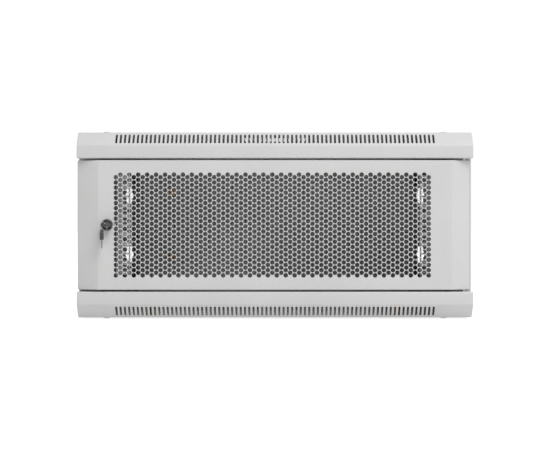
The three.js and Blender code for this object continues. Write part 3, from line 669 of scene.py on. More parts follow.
def cover_solid(low, high, hinge_x, hinge_y, screws, with_fan):
    """The folded cover, drawn as the roof: low and high are its box with +Z outwards."""
    front, top, edge = low.y, high.z, low.z
    lip = front + LIP_DEPTH
    slope_end = front + CHAMFER
    path = [(lip, edge), (front, edge), (front, top - CHAMFER), (slope_end, top), (0, top), (0, edge)]
    levels = edge_levels(bend_path(path, SHEET, BEND), high.x)
    outer = loft(levels + [(outline, -x) for outline, x in levels[::-1]], "X")
    mitre = SHEET * (math.sqrt(2) - 1)
    inner_path = [
        (lip, edge - CUT_REACH),
        (lip, edge + SHEET),
        (front + SHEET, edge + SHEET),
        (front + SHEET, top - CHAMFER - mitre),
        (slope_end + mitre, top - SHEET),
        (-SHEET, top - SHEET),
        (-SHEET, edge - CUT_REACH),
    ]
    inner = prism(offset(bend_path(inner_path, 0, BEND - SHEET), 0), low.x + SHEET, high.x - SHEET, "X")
    tools = cover_vents(front, top)
    if with_fan:
        tools += fan_slots(top, -front)
    cable_hole = round_rectangle((0, CABLE_Y), CABLE_WIDTH, CABLE_DEPTH, CABLE_CORNER)
    tools.append(prism(cable_hole, top - CUT_REACH, top + CUT_REACH))
    tools += cable_screw_holes(top)
    tools += [hole(place, SCREW_HOLE_R, top) for place in screws]
    tools.append(hole((hinge_x, hinge_y), HINGE_HOLE_R, edge))
    return cut(cut(outer, inner), *tools)


def cable_screw_holes(level):
    return [hole((x, CABLE_Y), CABLE_SCREW_HOLE_R, level, steps=20) for x in (-CABLE_SCREW_X, CABLE_SCREW_X)]


def screw_places(level, flip=1):
    places = []
    for side in SIDES:
        for where in ("front", "rear"):
            centre = middle(f"{side}_{where}_{level}_screw")
            places.append((flip * centre.x, centre.y))
    return places


def covers():
    pin = middle("hinge_bottom_pin")
    low, high = span("top_panel")
    roof = cover_solid(low, high, pin.x, pin.y, screw_places("top"), True)
    piece("roof_cover", roof, PAINT, "top_panel")
    low, high = span("bottom_panel")
    upturned = Vector((-high.x, low.y, -high.z)), Vector((-low.x, high.y, -low.z))
    floor = cover_solid(*upturned, -pin.x, pin.y, screw_places("bottom", -1), False)
    piece("floor_cover", moved(floor, turn=(180, "Y")), PAINT, "bottom_panel")


def cable_covers():
    low, high = span("top_cable_cover")
    path = [(low.y, low.z), (low.y, high.z), (high.y, high.z)]
    plate = cut(prism(bent_outline(path, SHEET), low.x, high.x, "X"), *cable_screw_holes(high.z))
    piece("roof_cable_plate", plate, PAINT, "top_cable_cover")
    piece("floor_cable_plate", moved(plate, turn=(180, "Y")), PAINT, "bottom_cable_cover")


# --- frame ---


def trimmed_post(path, side, high, body_edge, face_y):
    """A post with its outer skin cut away above and below the body, where the covers fit over it."""
    post = prism(bent_outline(on_side(path, side), FRAME_SHEET), -high, high)
    skin = sorted((side * COVER_INSIDE_X, side * TRIM_X))
    for end in (-1, 1):
        reach = sorted((end * body_edge, end * TRIM_Z))
        post = cut(post, block((skin[0], TRIM_FRONT, reach[0]), (skin[1], TRIM_BACK, reach[1])))
        if face_y is not None:
            post = cut(post, block((-TRIM_X, face_y, reach[0]), (TRIM_X, TRIM_BACK, reach[1])))
    return post


def tabs(side, inner, y0, y1, high, screw):
    """The welded tabs at a post's two ends, each with a hole for a cover screw."""
    made = []
    x = sorted((side * inner, side * COVER_INSIDE_X))
    for end in (-1, 1):
        z = sorted((end * (high - FRAME_SHEET), end * high))
        tab = prism(round_rectangle((sum(x) / 2, (y0 + y1) / 2), x[1] - x[0], y1 - y0, 1.0), *z)
        made.append(cut(tab, hole((screw.x, screw.y), SCREW_HOLE_R, end * high)))
    return made


def front_post(name, side, body_edge):
    low, high = span(f"{name}_front_post")
    front, back = low.y, high.y
    inner, outer = sorted((abs(low.x), abs(high.x)))
    path = [(outer, front + POST_LIP), (outer, front), (POST_INNER, front), (POST_INNER, back)]
    screw = middle(f"{name}_front_top_screw")
    post = trimmed_post(path, side, high.z, body_edge, None)
    post = join(post, *tabs(side, inner, front + FRAME_SHEET / 2, back, high.z, screw))
    if side < 0:
        cam_low, cam_high = span("lock_cam")
        margin = CAM_MARGIN + (cam_high.x - cam_low.x) / 2
        centre = (front + FRAME_SHEET + CAM_WINDOW / 2, (cam_high.z + CAM_MARGIN - margin) / 2)
        window = round_rectangle(centre, CAM_WINDOW, cam_high.z + CAM_MARGIN + margin, 2)
        post = cut(post, prism(window, -POST_INNER - CUT_REACH, -POST_INNER + CUT_REACH, "X"))
    piece(f"{name}_front_frame_post", post, PAINT, f"{name}_front_post")


def keyholes(side):
    made = []
    for z in (-KEYHOLE_Z, KEYHOLE_Z):
        centre = (side * KEYHOLE_X, z)
        slot = long_slot(centre, KEYHOLE_SLOT_WIDTH, KEYHOLE_SLOT_LENGTH, 12)
        made.append(join(hole(centre, KEYHOLE_R, 0, "Y", 48), prism(slot, -CUT_REACH, CUT_REACH, "Y")))
    return made


def rear_post(name, side, body_edge):
    low, high = span(f"{name}_rear_post")
    inner, outer = sorted((abs(low.x), abs(high.x)))
    path = [(inner, -REAR_POST_RETURN), (inner, 0), (outer, 0), (outer, -REAR_POST_LIP)]
    face = -FRAME_SHEET - TRIM_STEP
    screw = middle(f"{name}_rear_top_screw")
    post = trimmed_post(path, side, high.z, body_edge, face)
    post = join(post, *tabs(side, inner + FRAME_SHEET / 2, low.y, face, high.z, screw))
    piece(f"{name}_rear_frame_post", cut(post, *keyholes(side)), PAINT, f"{name}_rear_post")


def tray_levels(centre, width, height, depth):
    """Levels of a shallow folded tray, from its outer face round the open edge to its inner face."""
    levels = quarter_round(BEND, BEND_STEPS)
    levels += [(0, depth - TRAY_RIM), (TRAY_RIM, depth), (SHEET - TRAY_RIM, depth), (SHEET, depth - TRAY_RIM)]
    inside = quarter_round(BEND - SHEET, BEND_STEPS)
    levels += [(SHEET + inset, SHEET + level) for inset, level in inside[::-1]]
    outlines = []
    for inset, level in levels:
        corner = TRAY_CORNER + BEND - inset
        outlines.append((round_rectangle(centre, width - 2 * inset, height - 2 * inset, corner), level))
    return outlines


def rear_panel():
    low, high = span("rear_panel")
    centre = middle("rear_panel")
    levels = tray_levels((centre.x, centre.z), high.x - low.x, high.z - low.z, high.y - low.y)
    wall = loft([(outline, high.y - level) for outline, level in levels], "Y")
    piece("rear_wall", wall, PAINT, "rear_panel")


def depth_bracket(name, side, level):
    node = f"{name}_{level}_bracket"
    low, high = span(node)
    inner, outer = sorted((abs(low.x), abs(high.x)))
    path = [(outer, low.z), (inner, low.z), (inner, high.z), (outer, high.z)]
    bar = prism(bent_outline(on_side(path, side), FRAME_SHEET), low.y, high.y, "Y")
    screw = middle(f"{name}_{level}_rail_screw")
    slot_front = screw.y - BRACKET_SLOT_AHEAD
    length = BRACKET_SLOT_BACK - slot_front
    slot = long_slot((screw.z, slot_front + length / 2), BRACKET_SLOT_HEIGHT, length, 10)
    wall = sorted((side * (inner - 2), side * (inner + 4)))
    cutter = prism([(y, z) for z, y in slot], *wall, "X")
    piece(f"{name}_{level}_depth_bar", cut(bar, cutter), ZINC, node)


def mounting_rail(name, side):
    low, high = span(f"{name}_mounting_rail")
    inner, outer = sorted((abs(low.x), abs(high.x)))
    front, back = low.y, high.y
    path = on_side([(outer, back), (outer, front), (inner, front)], side)
    rail = prism(bent_outline(path, FRAME_SHEET), low.z, high.z)
    tools = []
    for unit in range(RACK_UNITS):
        centre = (unit - (RACK_UNITS - 1) / 2) * RACK_UNIT
        for step in (-RAIL_HOLE_STEP, 0, RAIL_HOLE_STEP):
            square = round_rectangle((side * RAIL_HOLE_X, centre + step), RAIL_HOLE, RAIL_HOLE, 0.6, 3)
            tools.append(prism(square, front - 3, front + 3, "Y"))
    for level in ("upper", "lower"):
        screw = middle(f"{name}_{level}_rail_screw")
        tools.append(hole((screw.y, screw.z), SCREW_HOLE_R, side * outer, "X"))
    piece(f"{name}_equipment_rail", cut(rail, *tools), GALVANISED, f"{name}_mounting_rail")


# --- side panels ---


def side_panel(name, side):
    low, high = span(f"{name}_side_panel")
    centre = ((low.y + high.y) / 2, 0)
    levels = tray_levels(centre, high.y - low.y, high.z - low.z, high.x - low.x)
    outer = max(abs(low.x), abs(high.x))
    panel = loft([(outline, side * (outer - level)) for outline, level in levels], "X")
    tools = []
    for where in ("front", "rear"):
        y = middle(f"{name}_{where}_latch").y
        bottom = THUMB_Z - THUMB_HEIGHT / 2 - FIT
        top = THUMB_Z + THUMB_HEIGHT / 2 + LATCH_TRAVEL + FIT
        window = round_rectangle((y, (bottom + top) / 2), THUMB_WIDTH + 2 * FIT, top - bottom, LATCH_CORNER)
        tools.append(prism(window, *sorted((side * (outer - 4), side * (outer + 4))), "X"))
        half = BOLT_WIDTH / 2 + 1
        x = sorted((side * (outer - 20), side * (outer - SHEET - 0.1)))
        notch_low, notch_high = (x[0], y - half, high.z - CUT_REACH), (x[1], y + half, high.z + CUT_REACH)
        tools.append(block(notch_low, notch_high))
    piece(f"{name}_side_cover", cut(panel, *tools), PAINT, f"{name}_side_panel")


def latch_block(y_reach, z_reach, back, face):
    """A block with all its edges rounded, between x = back and x = face."""
    centre = (sum(y_reach) / 2, sum(z_reach) / 2)
    width, height = y_reach[1] - y_reach[0], z_reach[1] - z_reach[0]
    levels = []
    for inset, depth in quarter_round(LATCH_EDGE, 3):
        corner = LATCH_EDGE * 1.5 - inset
        outline = round_rectangle(centre, width - 2 * inset, height - 2 * inset, corner, 4)
        levels.append((outline, back + depth))
    return loft(levels + [(outline, back + face - x) for outline, x in levels[::-1]], "X")


def slide_latch(name, side, where):
    node = f"{name}_{where}_latch"
    low, high = span(node)
    y = (low.y + high.y) / 2
    back, face = sorted((abs(low.x), abs(high.x)))
    plate_face = back + LATCH_PLATE
    plate_top = low.z + LATCH_HEIGHT
    plate = latch_block((low.y, high.y), (low.z, plate_top), back, plate_face)
    bolt_reach = (y - BOLT_WIDTH / 2, y + BOLT_WIDTH / 2)
    bolt = latch_block(bolt_reach, (plate_top - 2, high.z), back, plate_face)
    thumb_reach = (y - THUMB_WIDTH / 2, y + THUMB_WIDTH / 2)
    thumb_height = (THUMB_Z - THUMB_HEIGHT / 2, THUMB_Z + THUMB_HEIGHT / 2)
    thumb = latch_block(thumb_reach, thumb_height, plate_face - 1, face)
    grooves = []
    for i in range(THUMB_GROOVES):
        z = THUMB_Z + (i - (THUMB_GROOVES - 1) / 2) * THUMB_GROOVE_PITCH
        groove = round_rectangle((face, z), 1.2, 0.9, 0.4, 3)
        reach = THUMB_WIDTH / 2 - THUMB_GROOVE_INSET
        grooves.append(prism(groove, y - reach, y + reach, "Y"))
    latch = cut(join(plate, bolt, thumb), *grooves)
    if side < 0:
        latch = mirrored(latch, "X")
    piece(f"{name}_{where}_slide_latch", latch, PLASTIC, node)


# --- door ---


def perforation(front):
    """Cutters for the door's staggered field of round holes."""
    column_step = HOLE_PITCH * math.cos(math.radians(30))
    cutters = []
    for column in range(HOLE_COLUMNS):
        x = FIELD_X + (column - (HOLE_COLUMNS - 1) / 2) * column_step
        stagger = HOLE_PITCH / 4 if column % 2 else -HOLE_PITCH / 4
        for row in range(HOLE_ROWS):
            z = (row - (HOLE_ROWS - 1) / 2) * HOLE_PITCH + stagger
            cutters.append(rod((x, z), HOLE_R, front - 2, front + 4, "Y", HOLE_SIDES))
    return cutters


def weld_dimples(front):
    """Shallow marks where the stiffeners are spot-welded to the skin."""
    lens = lathe([(0, -WELD_DEPTH), (WELD_R * 0.6, -WELD_DEPTH * 0.6), (WELD_R, 0), (WELD_R, 1), (0, 1)], 20)
    made = []
    for node in ("door_left_stiffener", "door_right_stiffener"):
        for z in (-WELD_Z, WELD_Z):
            made.append(moved(lens, middle(node).x, front, z, turn=(90, "X")))
    return made


def door_skin():
    low, high = span("door_panel")
    front, back = low.y, high.y
    path = [
        (high.x, back), (high.x, front + DOOR_BEVEL), (DOOR_FLAT_X, front),
        (-DOOR_FLAT_X, front), (low.x, front + DOOR_BEVEL), (low.x, back),
    ]
    skin = bend_path(path, SHEET, BEND)
    levels = edge_levels(skin, high.z)
    outer = loft(levels + [(outline, -z) for outline, z in levels[::-1]])
    inner_outline = offset(skin, SHEET)
    for end in (0, -1):
        inner_outline[end] = (inner_outline[end][0], back + CUT_REACH)
    inner = prism(inner_outline, low.z + SHEET, high.z - SHEET)
    pin = middle("hinge_bottom_pin")
    tools = perforation(front) + weld_dimples(front)
    tools.append(rod((LOCK.x, LOCK.z), LOCK_HOLE_R, front - 2, front + 4, "Y", 32))
    tools += [hole((pin.x, pin.y), HINGE_HOLE_R, edge) for edge in (low.z, high.z)]
    piece("door_skin", cut(cut(outer, inner), *tools), PAINT, "door_panel")


def stiffeners():
    for name in ("left", "right"):
        node = f"door_{name}_stiffener"
        low, high = span(node)
        path = [(low.x, low.y), (low.x, high.y), (high.x, high.y), (high.x, low.y)]
        channel = prism(bent_outline(path, SHEET, CHANNEL_BEND), low.z, high.z)
        if name == "left":
            channel = cut(channel, hole((LOCK.x, LOCK.z), LOCK_HOLE_R, high.y, "Y", 32))
        piece(f"door_{name}_channel", channel, PAINT, node)


# --- hinges ---


def hinge_brackets():
    low, high = span("hinge_top_bracket")
    pin = middle("hinge_bottom_pin")
    path = [(high.x, high.z), (high.x, low.z), (low.x, low.z)]
    angle = prism(bent_outline(path, FRAME_SHEET), low.y, high.y, "Y")
    bracket = cut(angle, hole((pin.x, pin.y), HINGE_HOLE_R, low.z))
    piece("hinge_upper_angle", bracket, ZINC, "hinge_top_bracket")
    piece("hinge_lower_angle", mirrored(bracket, "Z"), ZINC, "hinge_bottom_bracket")


def collar(shelf):
    """The ring that keeps a hinge pin in place, just above the shelf or the spring that it stands over."""
    low, high = shelf + COLLAR_EDGE, shelf + COLLAR_TOP
    profile = [(0, low), (COLLAR_R - COLLAR_EDGE, low), (COLLAR_R, low + COLLAR_EDGE)]
    return lathe(profile + [(COLLAR_R, high - COLLAR_EDGE), (COLLAR_R - COLLAR_EDGE, high), (0, high)])


def hinge_pins():
    axis = middle("hinge_bottom_pin")
    low, high = span("hinge_top_pin")
    spring_top = span("hinge_spring")[1].z
    lever_z = low.z + PIN_R
    lever_end = low.x - axis.x
    elbow = arc((-PIN_ELBOW, lever_z + PIN_ELBOW), PIN_ELBOW, 270, 360, 8)
    foot = lever_z + PIN_ELBOW + 2
    path = [(lever_end + 0.5, 0, lever_z)] + [(x, 0, z) for x, z in elbow] + [(0, 0, foot + 2)]
    profile = [(0, foot), (PIN_R, foot), (PIN_R, high.z - PIN_EDGE)]
    shaft = lathe(profile + [(PIN_R - PIN_EDGE, high.z), (0, high.z)])
    cap = lathe([(0, 0), (PIN_R, 0), (PIN_R, 1), (PIN_R - 0.6, LEVER_CAP), (0, LEVER_CAP)])
    cap = moved(cap, lever_end + LEVER_CAP, 0, lever_z, (-90, "Y"))
    upper = join(shaft, tube(path, PIN_R, 32), cap, collar(spring_top))
    piece("hinge_upper_pin", moved(upper, axis.x, axis.y), ZINC, "hinge_top_pin")
    low, high = span("hinge_bottom_pin")
    profile = [(0, low.z), (PIN_R - PIN_EDGE, low.z), (PIN_R, low.z + PIN_EDGE), (PIN_R, high.z - 0.5)]
    shaft = lathe(profile + [(PIN_R - 0.5, high.z), (0, high.z)])
    lower = join(shaft, collar(span("hinge_bottom_bracket")[1].z))
    piece("hinge_lower_pin", moved(lower, axis.x, axis.y), ZINC, "hinge_bottom_pin")


def hinge_spring():
    axis = middle("hinge_bottom_pin")
    low, high = span("hinge_spring")
    start, rise = low.z + SPRING_WIRE_R, high.z - low.z - 2 * SPRING_WIRE_R
    closed_rise = 2.1 * SPRING_WIRE_R
    path = []
    steps = SPRING_TURNS * 24
    for i in range(steps + 1):
        turns = SPRING_TURNS * i / steps
        open_part = min(max(turns - 1, 0), SPRING_TURNS - 2) / (SPRING_TURNS - 2)
        closed_part = min(turns, 1) + max(turns - SPRING_TURNS + 1, 0)
        z = start + closed_part * closed_rise + open_part * (rise - 2 * closed_rise)
        angle = 2 * math.pi * turns
        path.append((axis.x + SPRING_R * math.cos(angle), axis.y + SPRING_R * math.sin(angle), z))
    spring = piece("hinge_pin_spring", tube(path, SPRING_WIRE_R, 10), SPRING_STEEL, "hinge_spring")
    return spring, low.z, 1 - PIN_TRAVEL / (high.z - low.z)


# --- screws and studs ---


def hexagon(radius):
    return circle((0, 0), radius, 6)


def cross(reach, width):
    """A cross-shaped outline for a driver recess."""
    half = width / 2
    return [
        (reach, -half), (reach, half), (half, half), (half, reach), (-half, reach), (-half, half),
        (-reach, half), (-reach, -half), (-half, -half), (-half, -reach), (half, -reach), (half, -half),
    ]


def button_screw(head_radius, head_height, shank_radius, shank_length, socket=True):
    """A domed screw whose head rests on z = 0; its driver recess is a hexagon or a cross."""
    profile = [(0, -shank_length), (shank_radius - 0.6, -shank_length), (shank_radius, 0.8 - shank_length)]
    profile += [(shank_radius, 0), (head_radius - 0.3, 0), (head_radius, 0.3)]
    for i in range(8):
        angle = math.radians(90 * i / 8)
        height = head_height * (0.3 + 0.7 * math.sin(angle))
        profile.append((head_radius * math.cos(angle) ** 0.6, height))
    profile.append((0, head_height))
    recess = hexagon(head_radius * 0.38) if socket else cross(head_radius * 0.5, head_radius * 0.17)
    pocket = loft([(recess, head_height * 0.35), (recess, head_height + 2)])
    return cut(lathe(profile), pocket)


def end_screw(name, screw, head, node):
    """Places a screw of the roof, its head up, or of the floor, its head down."""
    low, high = span(node)
    base, turn = (high.z - head, 0) if high.z > 0 else (low.z + head, 180)
    piece(name, moved(screw, middle(node).x, middle(node).y, base, (turn, "X")), ZINC, node)


def end_screws():
    cover = button_screw(*COVER_SCREW)
    cable = button_screw(*CABLE_SCREW, socket=False)
    for level in ("top", "bottom"):
        for name in SIDES:
            for where in ("front", "rear"):
                node = f"{name}_{where}_{level}_screw"
                end_screw(f"{name}_{where}_{level}_cover_screw", cover, COVER_SCREW[1], node)
            node = f"{level}_cover_{name}_screw"
            end_screw(f"{level}_{name}_cable_screw", cable, CABLE_SCREW[1], node)


def rail_screws():
    screw = button_screw(*RAIL_SCREW)
    for name, side in SIDES.items():
        for level in ("upper", "lower"):
            node = f"{name}_{level}_rail_screw"
            low, high = span(node)
            base = low.x + RAIL_SCREW[1] if side > 0 else high.x - RAIL_SCREW[1]
            centre = middle(node)
            made = moved(screw, base, centre.y, centre.z, (-side * 90, "Y"))
            piece(f"{name}_{level}_clamp_screw", made, ZINC, node)


def threaded(radius, low, high, pitch, depth):
    """(radius, height) points of a thread drawn as even ridges."""
    count = round((high - low) / pitch)
    points = []
    for i in range(count):
        base = low + (high - low) * i / count
        points += [(radius - depth, base), (radius, base + pitch * 0.35), (radius, base + pitch * 0.5)]
    return points + [(radius - depth, high)]


def hex_nut(radius, bore, height):
    flat = radius * math.cos(math.radians(30))
    chamfer = radius - flat
    drop = chamfer * 0.6
    profile = [(bore, 0), (flat, 0), (radius + 0.1, drop), (radius + 0.1, height - drop)]
    ring = lathe(profile + [(flat, height), (bore, height)], 48, closed=True)
    return combine(prism(hexagon(radius), -1, height + 1), ring, "INTERSECT")


def earth_studs():
    rim = STUD_FLANGE_R - STUD_EDGE
    profile = [(0, 0), (rim, 0), (STUD_FLANGE_R, STUD_EDGE), (STUD_FLANGE_R, STUD_FLANGE - STUD_EDGE)]
    flange = lathe(profile + [(rim, STUD_FLANGE), (0, STUD_FLANGE)], 40)
    nut = moved(hex_nut(STUD_NUT_R, STUD_CORE_R, STUD_NUT), z=STUD_FLANGE)
    low = STUD_FLANGE - STUD_EDGE
    thread = threaded(STUD_R, low, STUD_LENGTH - STUD_TIP, *STUD_THREAD)
    tip = [(STUD_R - 0.7, STUD_LENGTH), (0, STUD_LENGTH)]
    stud = join(flange, nut, lathe([(0, low - 0.2)] + thread + tip, 24))
    for level in ("upper", "lower"):
        node = f"rear_{level}_earth_stud"
        centre = middle(node)
        made = moved(stud, centre.x, span(node)[1].y, centre.z, (90, "X"))
        piece(f"wall_{level}_earth_point", made, BRASS, node)
    for name in SIDES:
        node = f"floor_{name}_earth_stud"
        made = moved(stud, middle(node).x, middle(node).y, span(node)[0].z)
        piece(f"floor_{name}_earth_point", made, BRASS, node)


# --- lock ---


def facing_door(solid):
    """Puts a solid drawn with +Z out of the door, and z = 0 on its face, on the lock's axis."""
    return moved(solid, LOCK.x, DOOR_FRONT, LOCK.z, (90, "X"))


def lock_barrel():
    low, high = span("lock_body")
    back = DOOR_FRONT - high.y
    head = DOOR_FRONT - low.y
    bore = CORE_R + FIT
    profile = [(bore, back), (LOCK_R - 0.6, back)] + threaded(LOCK_R, back + 0.6, -1.6, *LOCK_THREAD)
    profile += [(LOCK_R - LOCK_THREAD[1], FIT), (LOCK_HEAD_R, FIT), (LOCK_HEAD_R, head - 1.2)]
    profile += [(LOCK_HEAD_R - 0.25, head - 0.5), (LOCK_HEAD_R - 0.9, head)]
    profile += [(CORE_R + 2.4, head), (CORE_R + 1.6, head - 0.5), (bore, head - 0.6)]
    piece("lock_barrel", facing_door(lathe(profile, 64, closed=True)), NICKEL, "lock_body")


def lock_plug():
    back = DOOR_FRONT - span("lock_body")[1].y
    low, high = span("lock_core")
    front, tail = DOOR_FRONT - low.y, DOOR_FRONT - high.y
    plug = lathe([(0, back), (CORE_R, back), (CORE_R, front - 0.3), (CORE_R - 0.3, front), (0, front)], 48)
    square = CAM_SQUARE / 2
    tail_block = block((-square, -square, tail), (square, square, back + 1))
    x, y = BLADE_WIDTH / 2 + FIT, BLADE_THICK / 2 + FIT
    keyway = block((-x, -y, front - KEYWAY_DEPTH), (x, y, front + 1))
    screw_hole = rod((0, 0), CAM_SCREW_HOLE_R, tail - 1, back + 3, steps=20)
    piece("lock_plug", facing_door(cut(join(plug, tail_block), keyway, screw_hole)), NICKEL, "lock_core")


def lock_fixings():
    low, high = span("lock_nut")
    nut = hex_nut((high.x - low.x) / 2, LOCK_R + FIT, high.y - low.y)
    piece("lock_clamp_nut", facing_door(moved(nut, z=DOOR_FRONT - high.y)), ZINC, "lock_nut")

    low, high = span("lock_cam")
    half, length = (high.x - low.x) / 2, high.z - LOCK.z
    corner_x, corner_y = half * CAM_TIP - CAM_CORNER, length - CAM_CORNER
    outline = arc((0, 0), half, 180, 360, 16) + arc((corner_x, corner_y), CAM_CORNER, 0, 90, 6)
    outline += arc((-corner_x, corner_y), CAM_CORNER, 90, 180, 6)
    small = [(x * CAM_EDGE_SCALE, y * CAM_EDGE_SCALE) for x, y in outline]
    levels = [(small, 0), (outline, CAM_EDGE), (outline, CAM_THICK - CAM_EDGE), (small, CAM_THICK)]
    square = CAM_SQUARE / 2 + FIT
    cam = cut(loft(levels), block((-square, -square, -1), (square, square, CAM_THICK + 1)))
    piece("lock_cam_plate", facing_door(moved(cam, z=DOOR_FRONT - high.y)), ZINC, "lock_cam")

    low, high = span("cam_screw")
    shank = high.y - low.y - CAM_SCREW_HEAD
    screw = button_screw((high.x - low.x) / 2, CAM_SCREW_HEAD, CAM_SCREW_SHANK_R, shank, False)
    made = moved(screw, z=DOOR_FRONT - high.y + CAM_SCREW_HEAD, turn=(180, "X"))
    piece("cam_fixing_screw", facing_door(made), ZINC, "cam_screw")


# --- keys, drawn with the shoulder at the origin, the blade along +Y and the thickness along X ---


def bow_outline(inset):
    """(y, width) points of the bow's edge, drawn in by inset."""
    half = BOW_WIDTH / 2
    lower = arc((-BOW_CORNER, BOW_CORNER - half), BOW_CORNER - inset, 270, 360, 6)
    upper = arc((-BOW_CORNER, half - BOW_CORNER), BOW_CORNER - inset, 0, 90, 6)
    return lower + upper + arc((half - BOW_LENGTH, 0), half - inset, 90, 270, 24)


def key_bow():
    rounding = quarter_round(BOW_THICK * BOW_ROUND, 5)
    levels = [(bow_outline(inset), BOW_THICK / 2 - depth) for inset, depth in rounding]
    bow = loft([(outline, -x) for outline, x in levels] + levels[::-1], "X")
    eye = (BOW_HOLE_INSET - BOW_LENGTH, 0)
    pocket_x, pocket_z = BLADE_THICK / 2 + FIT, BLADE_WIDTH / 2 + FIT
    pocket = block((-pocket_x, -BLADE_ROOT - FIT, -pocket_z), (pocket_x, 1, pocket_z))
    bow = cut(bow, rod(eye, BOW_HOLE_R, -BOW_THICK, BOW_THICK, "X", 40), pocket)
    for side in (-1, 1):
        face = side * BOW_THICK / 2
        inner, outer = circle(eye, BOW_HOLE_R - 0.1, 40), circle(eye, BOW_HOLE_R + 0.9, 40)
        countersink = loft([(inner, face - side * BOW_COUNTERSINK), (outer, face + side * 0.2)], "X")
        width = BOW_WIDTH - 2 * BOW_RECESS_MARGIN
        recess = round_rectangle((BOW_RECESS_Y, 0), BOW_RECESS_WIDTH, width, BOW_RECESS_CORNER, 4)
        reach = sorted((face - side * BOW_RECESS_DEPTH, face + side))
        bow = cut(bow, countersink, prism(recess, *reach, "X"))
    return bow


def key_blade():
    half = BLADE_WIDTH / 2
    outline = [(-BLADE_ROOT, -half), (BLADE_LENGTH - BLADE_TIP, -half)]
    outline += [(BLADE_LENGTH - 0.3, -1.3), (BLADE_LENGTH, -0.9)]
    for i, depth in enumerate(BITTING):
        y = BLADE_LENGTH - BIT_START - i * BIT_PITCH
        outline += [(y, half - 0.2), (y - 0.7, half - depth), (y - 1.3, half - depth)]
    outline += [(1.2, half), (-BLADE_ROOT, half - 0.5)]
    blade = prism(outline, -BLADE_THICK / 2, BLADE_THICK / 2, "X")
    grooves = []
    for side, z in ((-1, -0.9), (1, 0.4)):
        x = sorted((side * (BLADE_THICK / 2 - BLADE_GROOVE), side * BLADE_THICK))
        low, high = (x[0], 0.4, z - BLADE_GROOVE), (x[1], BLADE_LENGTH + 1, z + BLADE_GROOVE)
        grooves.append(block(low, high))
    return cut(blade, *grooves)


def keys():
    bow, blade = key_bow(), key_blade()
    shoulder = span("key_bow")[1].y
    spare = middle("spare_key_bow")
    hung = (spare.x, spare.y, span("spare_key_bow")[0].z)
    for part, solid, material, node in (("grip", bow, PLASTIC, "bow"), ("shank", blade, KEY_STEEL, "blade")):
        made = moved(solid, LOCK.x, shoulder, LOCK.z, (90, "Y"))
        piece(f"key_{part}", made, material, f"key_{node}")
        piece(f"spare_key_{part}", moved(solid, *hung, (-90, "X")), material, f"spare_key_{node}")


def key_ring():
    """A split ring: the wire goes round twice, one turn beside the other."""
    low, high = span("key_ring")
    centre = middle("key_ring")
    wire = (high.y - low.y) / 4
    radius = (high.x - low.x) / 2 - wire
    steps = 2 * 64
    path = []
    for i in range(steps + 1):
        turns = 2 * i / steps
        shift = min(max((turns - 0.9) / 0.2, 0), 1)
        along = 0.98 * wire * (2 * shift - 1)
        angle = 2 * math.pi * turns + math.radians(200)
        x, z = radius * math.cos(angle), radius * math.sin(angle)
        path.append((centre.x + x, centre.y + along, centre.z + z))
    piece("split_ring", tube(path, wire * 0.95, 12), RING_STEEL, "key_ring")


# --- build ---


def build():
    covers()
    cable_covers()
    body_edge = span("rear_panel")[1].z
    rear_panel()
    for name, side in SIDES.items():
        front_post(name, side, body_edge)
        rear_post(name, side, body_edge)
        side_panel(name, side)
        mounting_rail(name, side)
        for level in ("upper", "lower"):
            depth_bracket(name, side, level)
        for where in ("front", "rear"):
            slide_latch(name, side, where)
    door_skin()
    stiffeners()
    hinge_brackets()
    hinge_pins()
    end_screws()
    rail_screws()
    earth_studs()
    lock_barrel()
    lock_plug()
    lock_fixings()
    keys()
    key_ring()
    spring, foot, keep = hinge_spring()
    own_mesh(spring)


# --- stage ---


def switched(tree, camera_value, other_value):
    """A grey that the camera sees differently from the light: the white of an overexposed studio."""
    path = tree.nodes.new("ShaderNodeLightPath")
    mix = tree.nodes.new("ShaderNodeMix")
    tree.links.new(path.outputs["Is Camera Ray"], mix.inputs["Factor"])
    mix.inputs["B"].default_value = camera_value
    if isinstance(other_value, bpy.types.NodeSocket):
        tree.links.new(other_value, mix.inputs["A"])
    else:
        mix.inputs["A"].default_value = other_value
    return mix.outputs["Result"]


def studio_fill(tree):
    """The light that comes from everywhere, stronger from above and a little stronger from the right."""
    direction = tree.nodes.new("ShaderNodeTexCoord").outputs["Generated"]
    slope = tree.nodes.new("ShaderNodeVectorMath")
    slope.operation = "DOT_PRODUCT"
    tree.links.new(direction, slope.inputs[0])
    slope.inputs[1].default_value = (FILL_FROM_RIGHT, 0, FILL_FROM_ABOVE)
    total = tree.nodes.new("ShaderNodeMath")
    tree.links.new(slope.outputs["Value"], total.inputs[0])
    total.inputs[1].default_value = FILL
    return total.outputs["Value"]


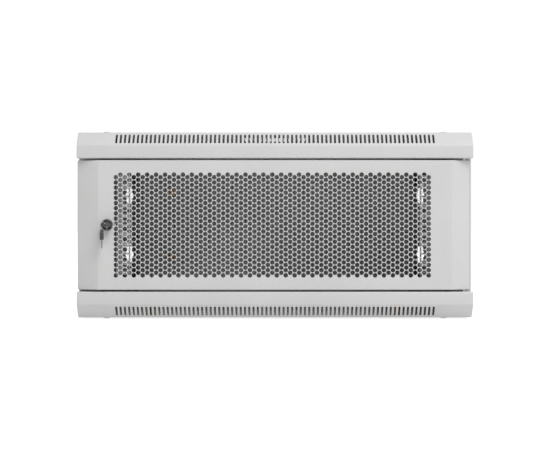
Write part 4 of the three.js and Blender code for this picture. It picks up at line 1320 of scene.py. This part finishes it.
def stage():
    z = cad_box[0][2] - FLOOR_DROP
    corners = [(sx * FLOOR_REACH, sy * FLOOR_REACH) for sx, sy in ((-1, -1), (1, -1), (1, 1), (-1, 1))]
    mesh = bpy.data.meshes.new("floor")
    mesh.from_pydata([(x, y, z) for x, y in corners], [], [(0, 1, 2, 3)])
    floor = bpy.data.objects.new("floor", mesh)
    bpy.context.scene.collection.objects.link(floor)
    n = Nodes("pale_floor")
    n.set(Base_Color=(FLOOR_WHITE, FLOOR_WHITE, FLOOR_WHITE, 1), Emission_Color=(1, 1, 1, 1))
    n.set(Roughness=0.9, Specular_IOR_Level=0.0)
    n.link(switched(n.tree, FLOOR_GLOW, FLOOR_LIGHT), n.shader.inputs["Emission Strength"])
    mesh.materials.append(n.material)

    world = bpy.data.worlds.new("studio")
    bpy.context.scene.world = world
    world.use_nodes = True
    background = world.node_tree.nodes["Background"]
    background.inputs["Color"].default_value = (1, 1, 1, 1)
    strength = switched(world.node_tree, BACKGROUND_WHITE, studio_fill(world.node_tree))
    world.node_tree.links.new(strength, background.inputs["Strength"])
    bpy.context.scene.view_settings.view_transform = "Standard"

    soft_light("key_light", KEY_AZIMUTH, KEY_ELEVATION, KEY_DISTANCE, KEY_SIZE, KEY_POWER)


def soft_light(name, azimuth, elevation, distance, size, power):
    """A square softbox, its azimuth counted from the front towards the right."""
    data = bpy.data.lights.new(name, "AREA")
    data.size = size
    data.energy = power
    lamp = bpy.data.objects.new(name, data)
    turn, lift = math.radians(azimuth), math.radians(elevation)
    away = Vector((math.sin(turn) * math.cos(lift), -math.cos(turn) * math.cos(lift), math.sin(lift)))
    target = Vector((0, DOOR_FRONT * MM, 0))
    lamp.location = target + away * distance
    lamp.rotation_euler = away.to_track_quat("Z", "Y").to_euler()
    bpy.context.scene.collection.objects.link(lamp)


def camera():
    data = bpy.data.cameras.new("camera")
    data.lens = LENS
    data.clip_end = 100
    thing = bpy.data.objects.new("camera", data)
    thing.location = (0, DOOR_FRONT * MM - CAMERA_DISTANCE, 0)
    thing.rotation_euler = (math.radians(90), 0, 0)
    bpy.context.scene.collection.objects.link(thing)
    bpy.context.scene.camera = thing


build()
stage()
camera()
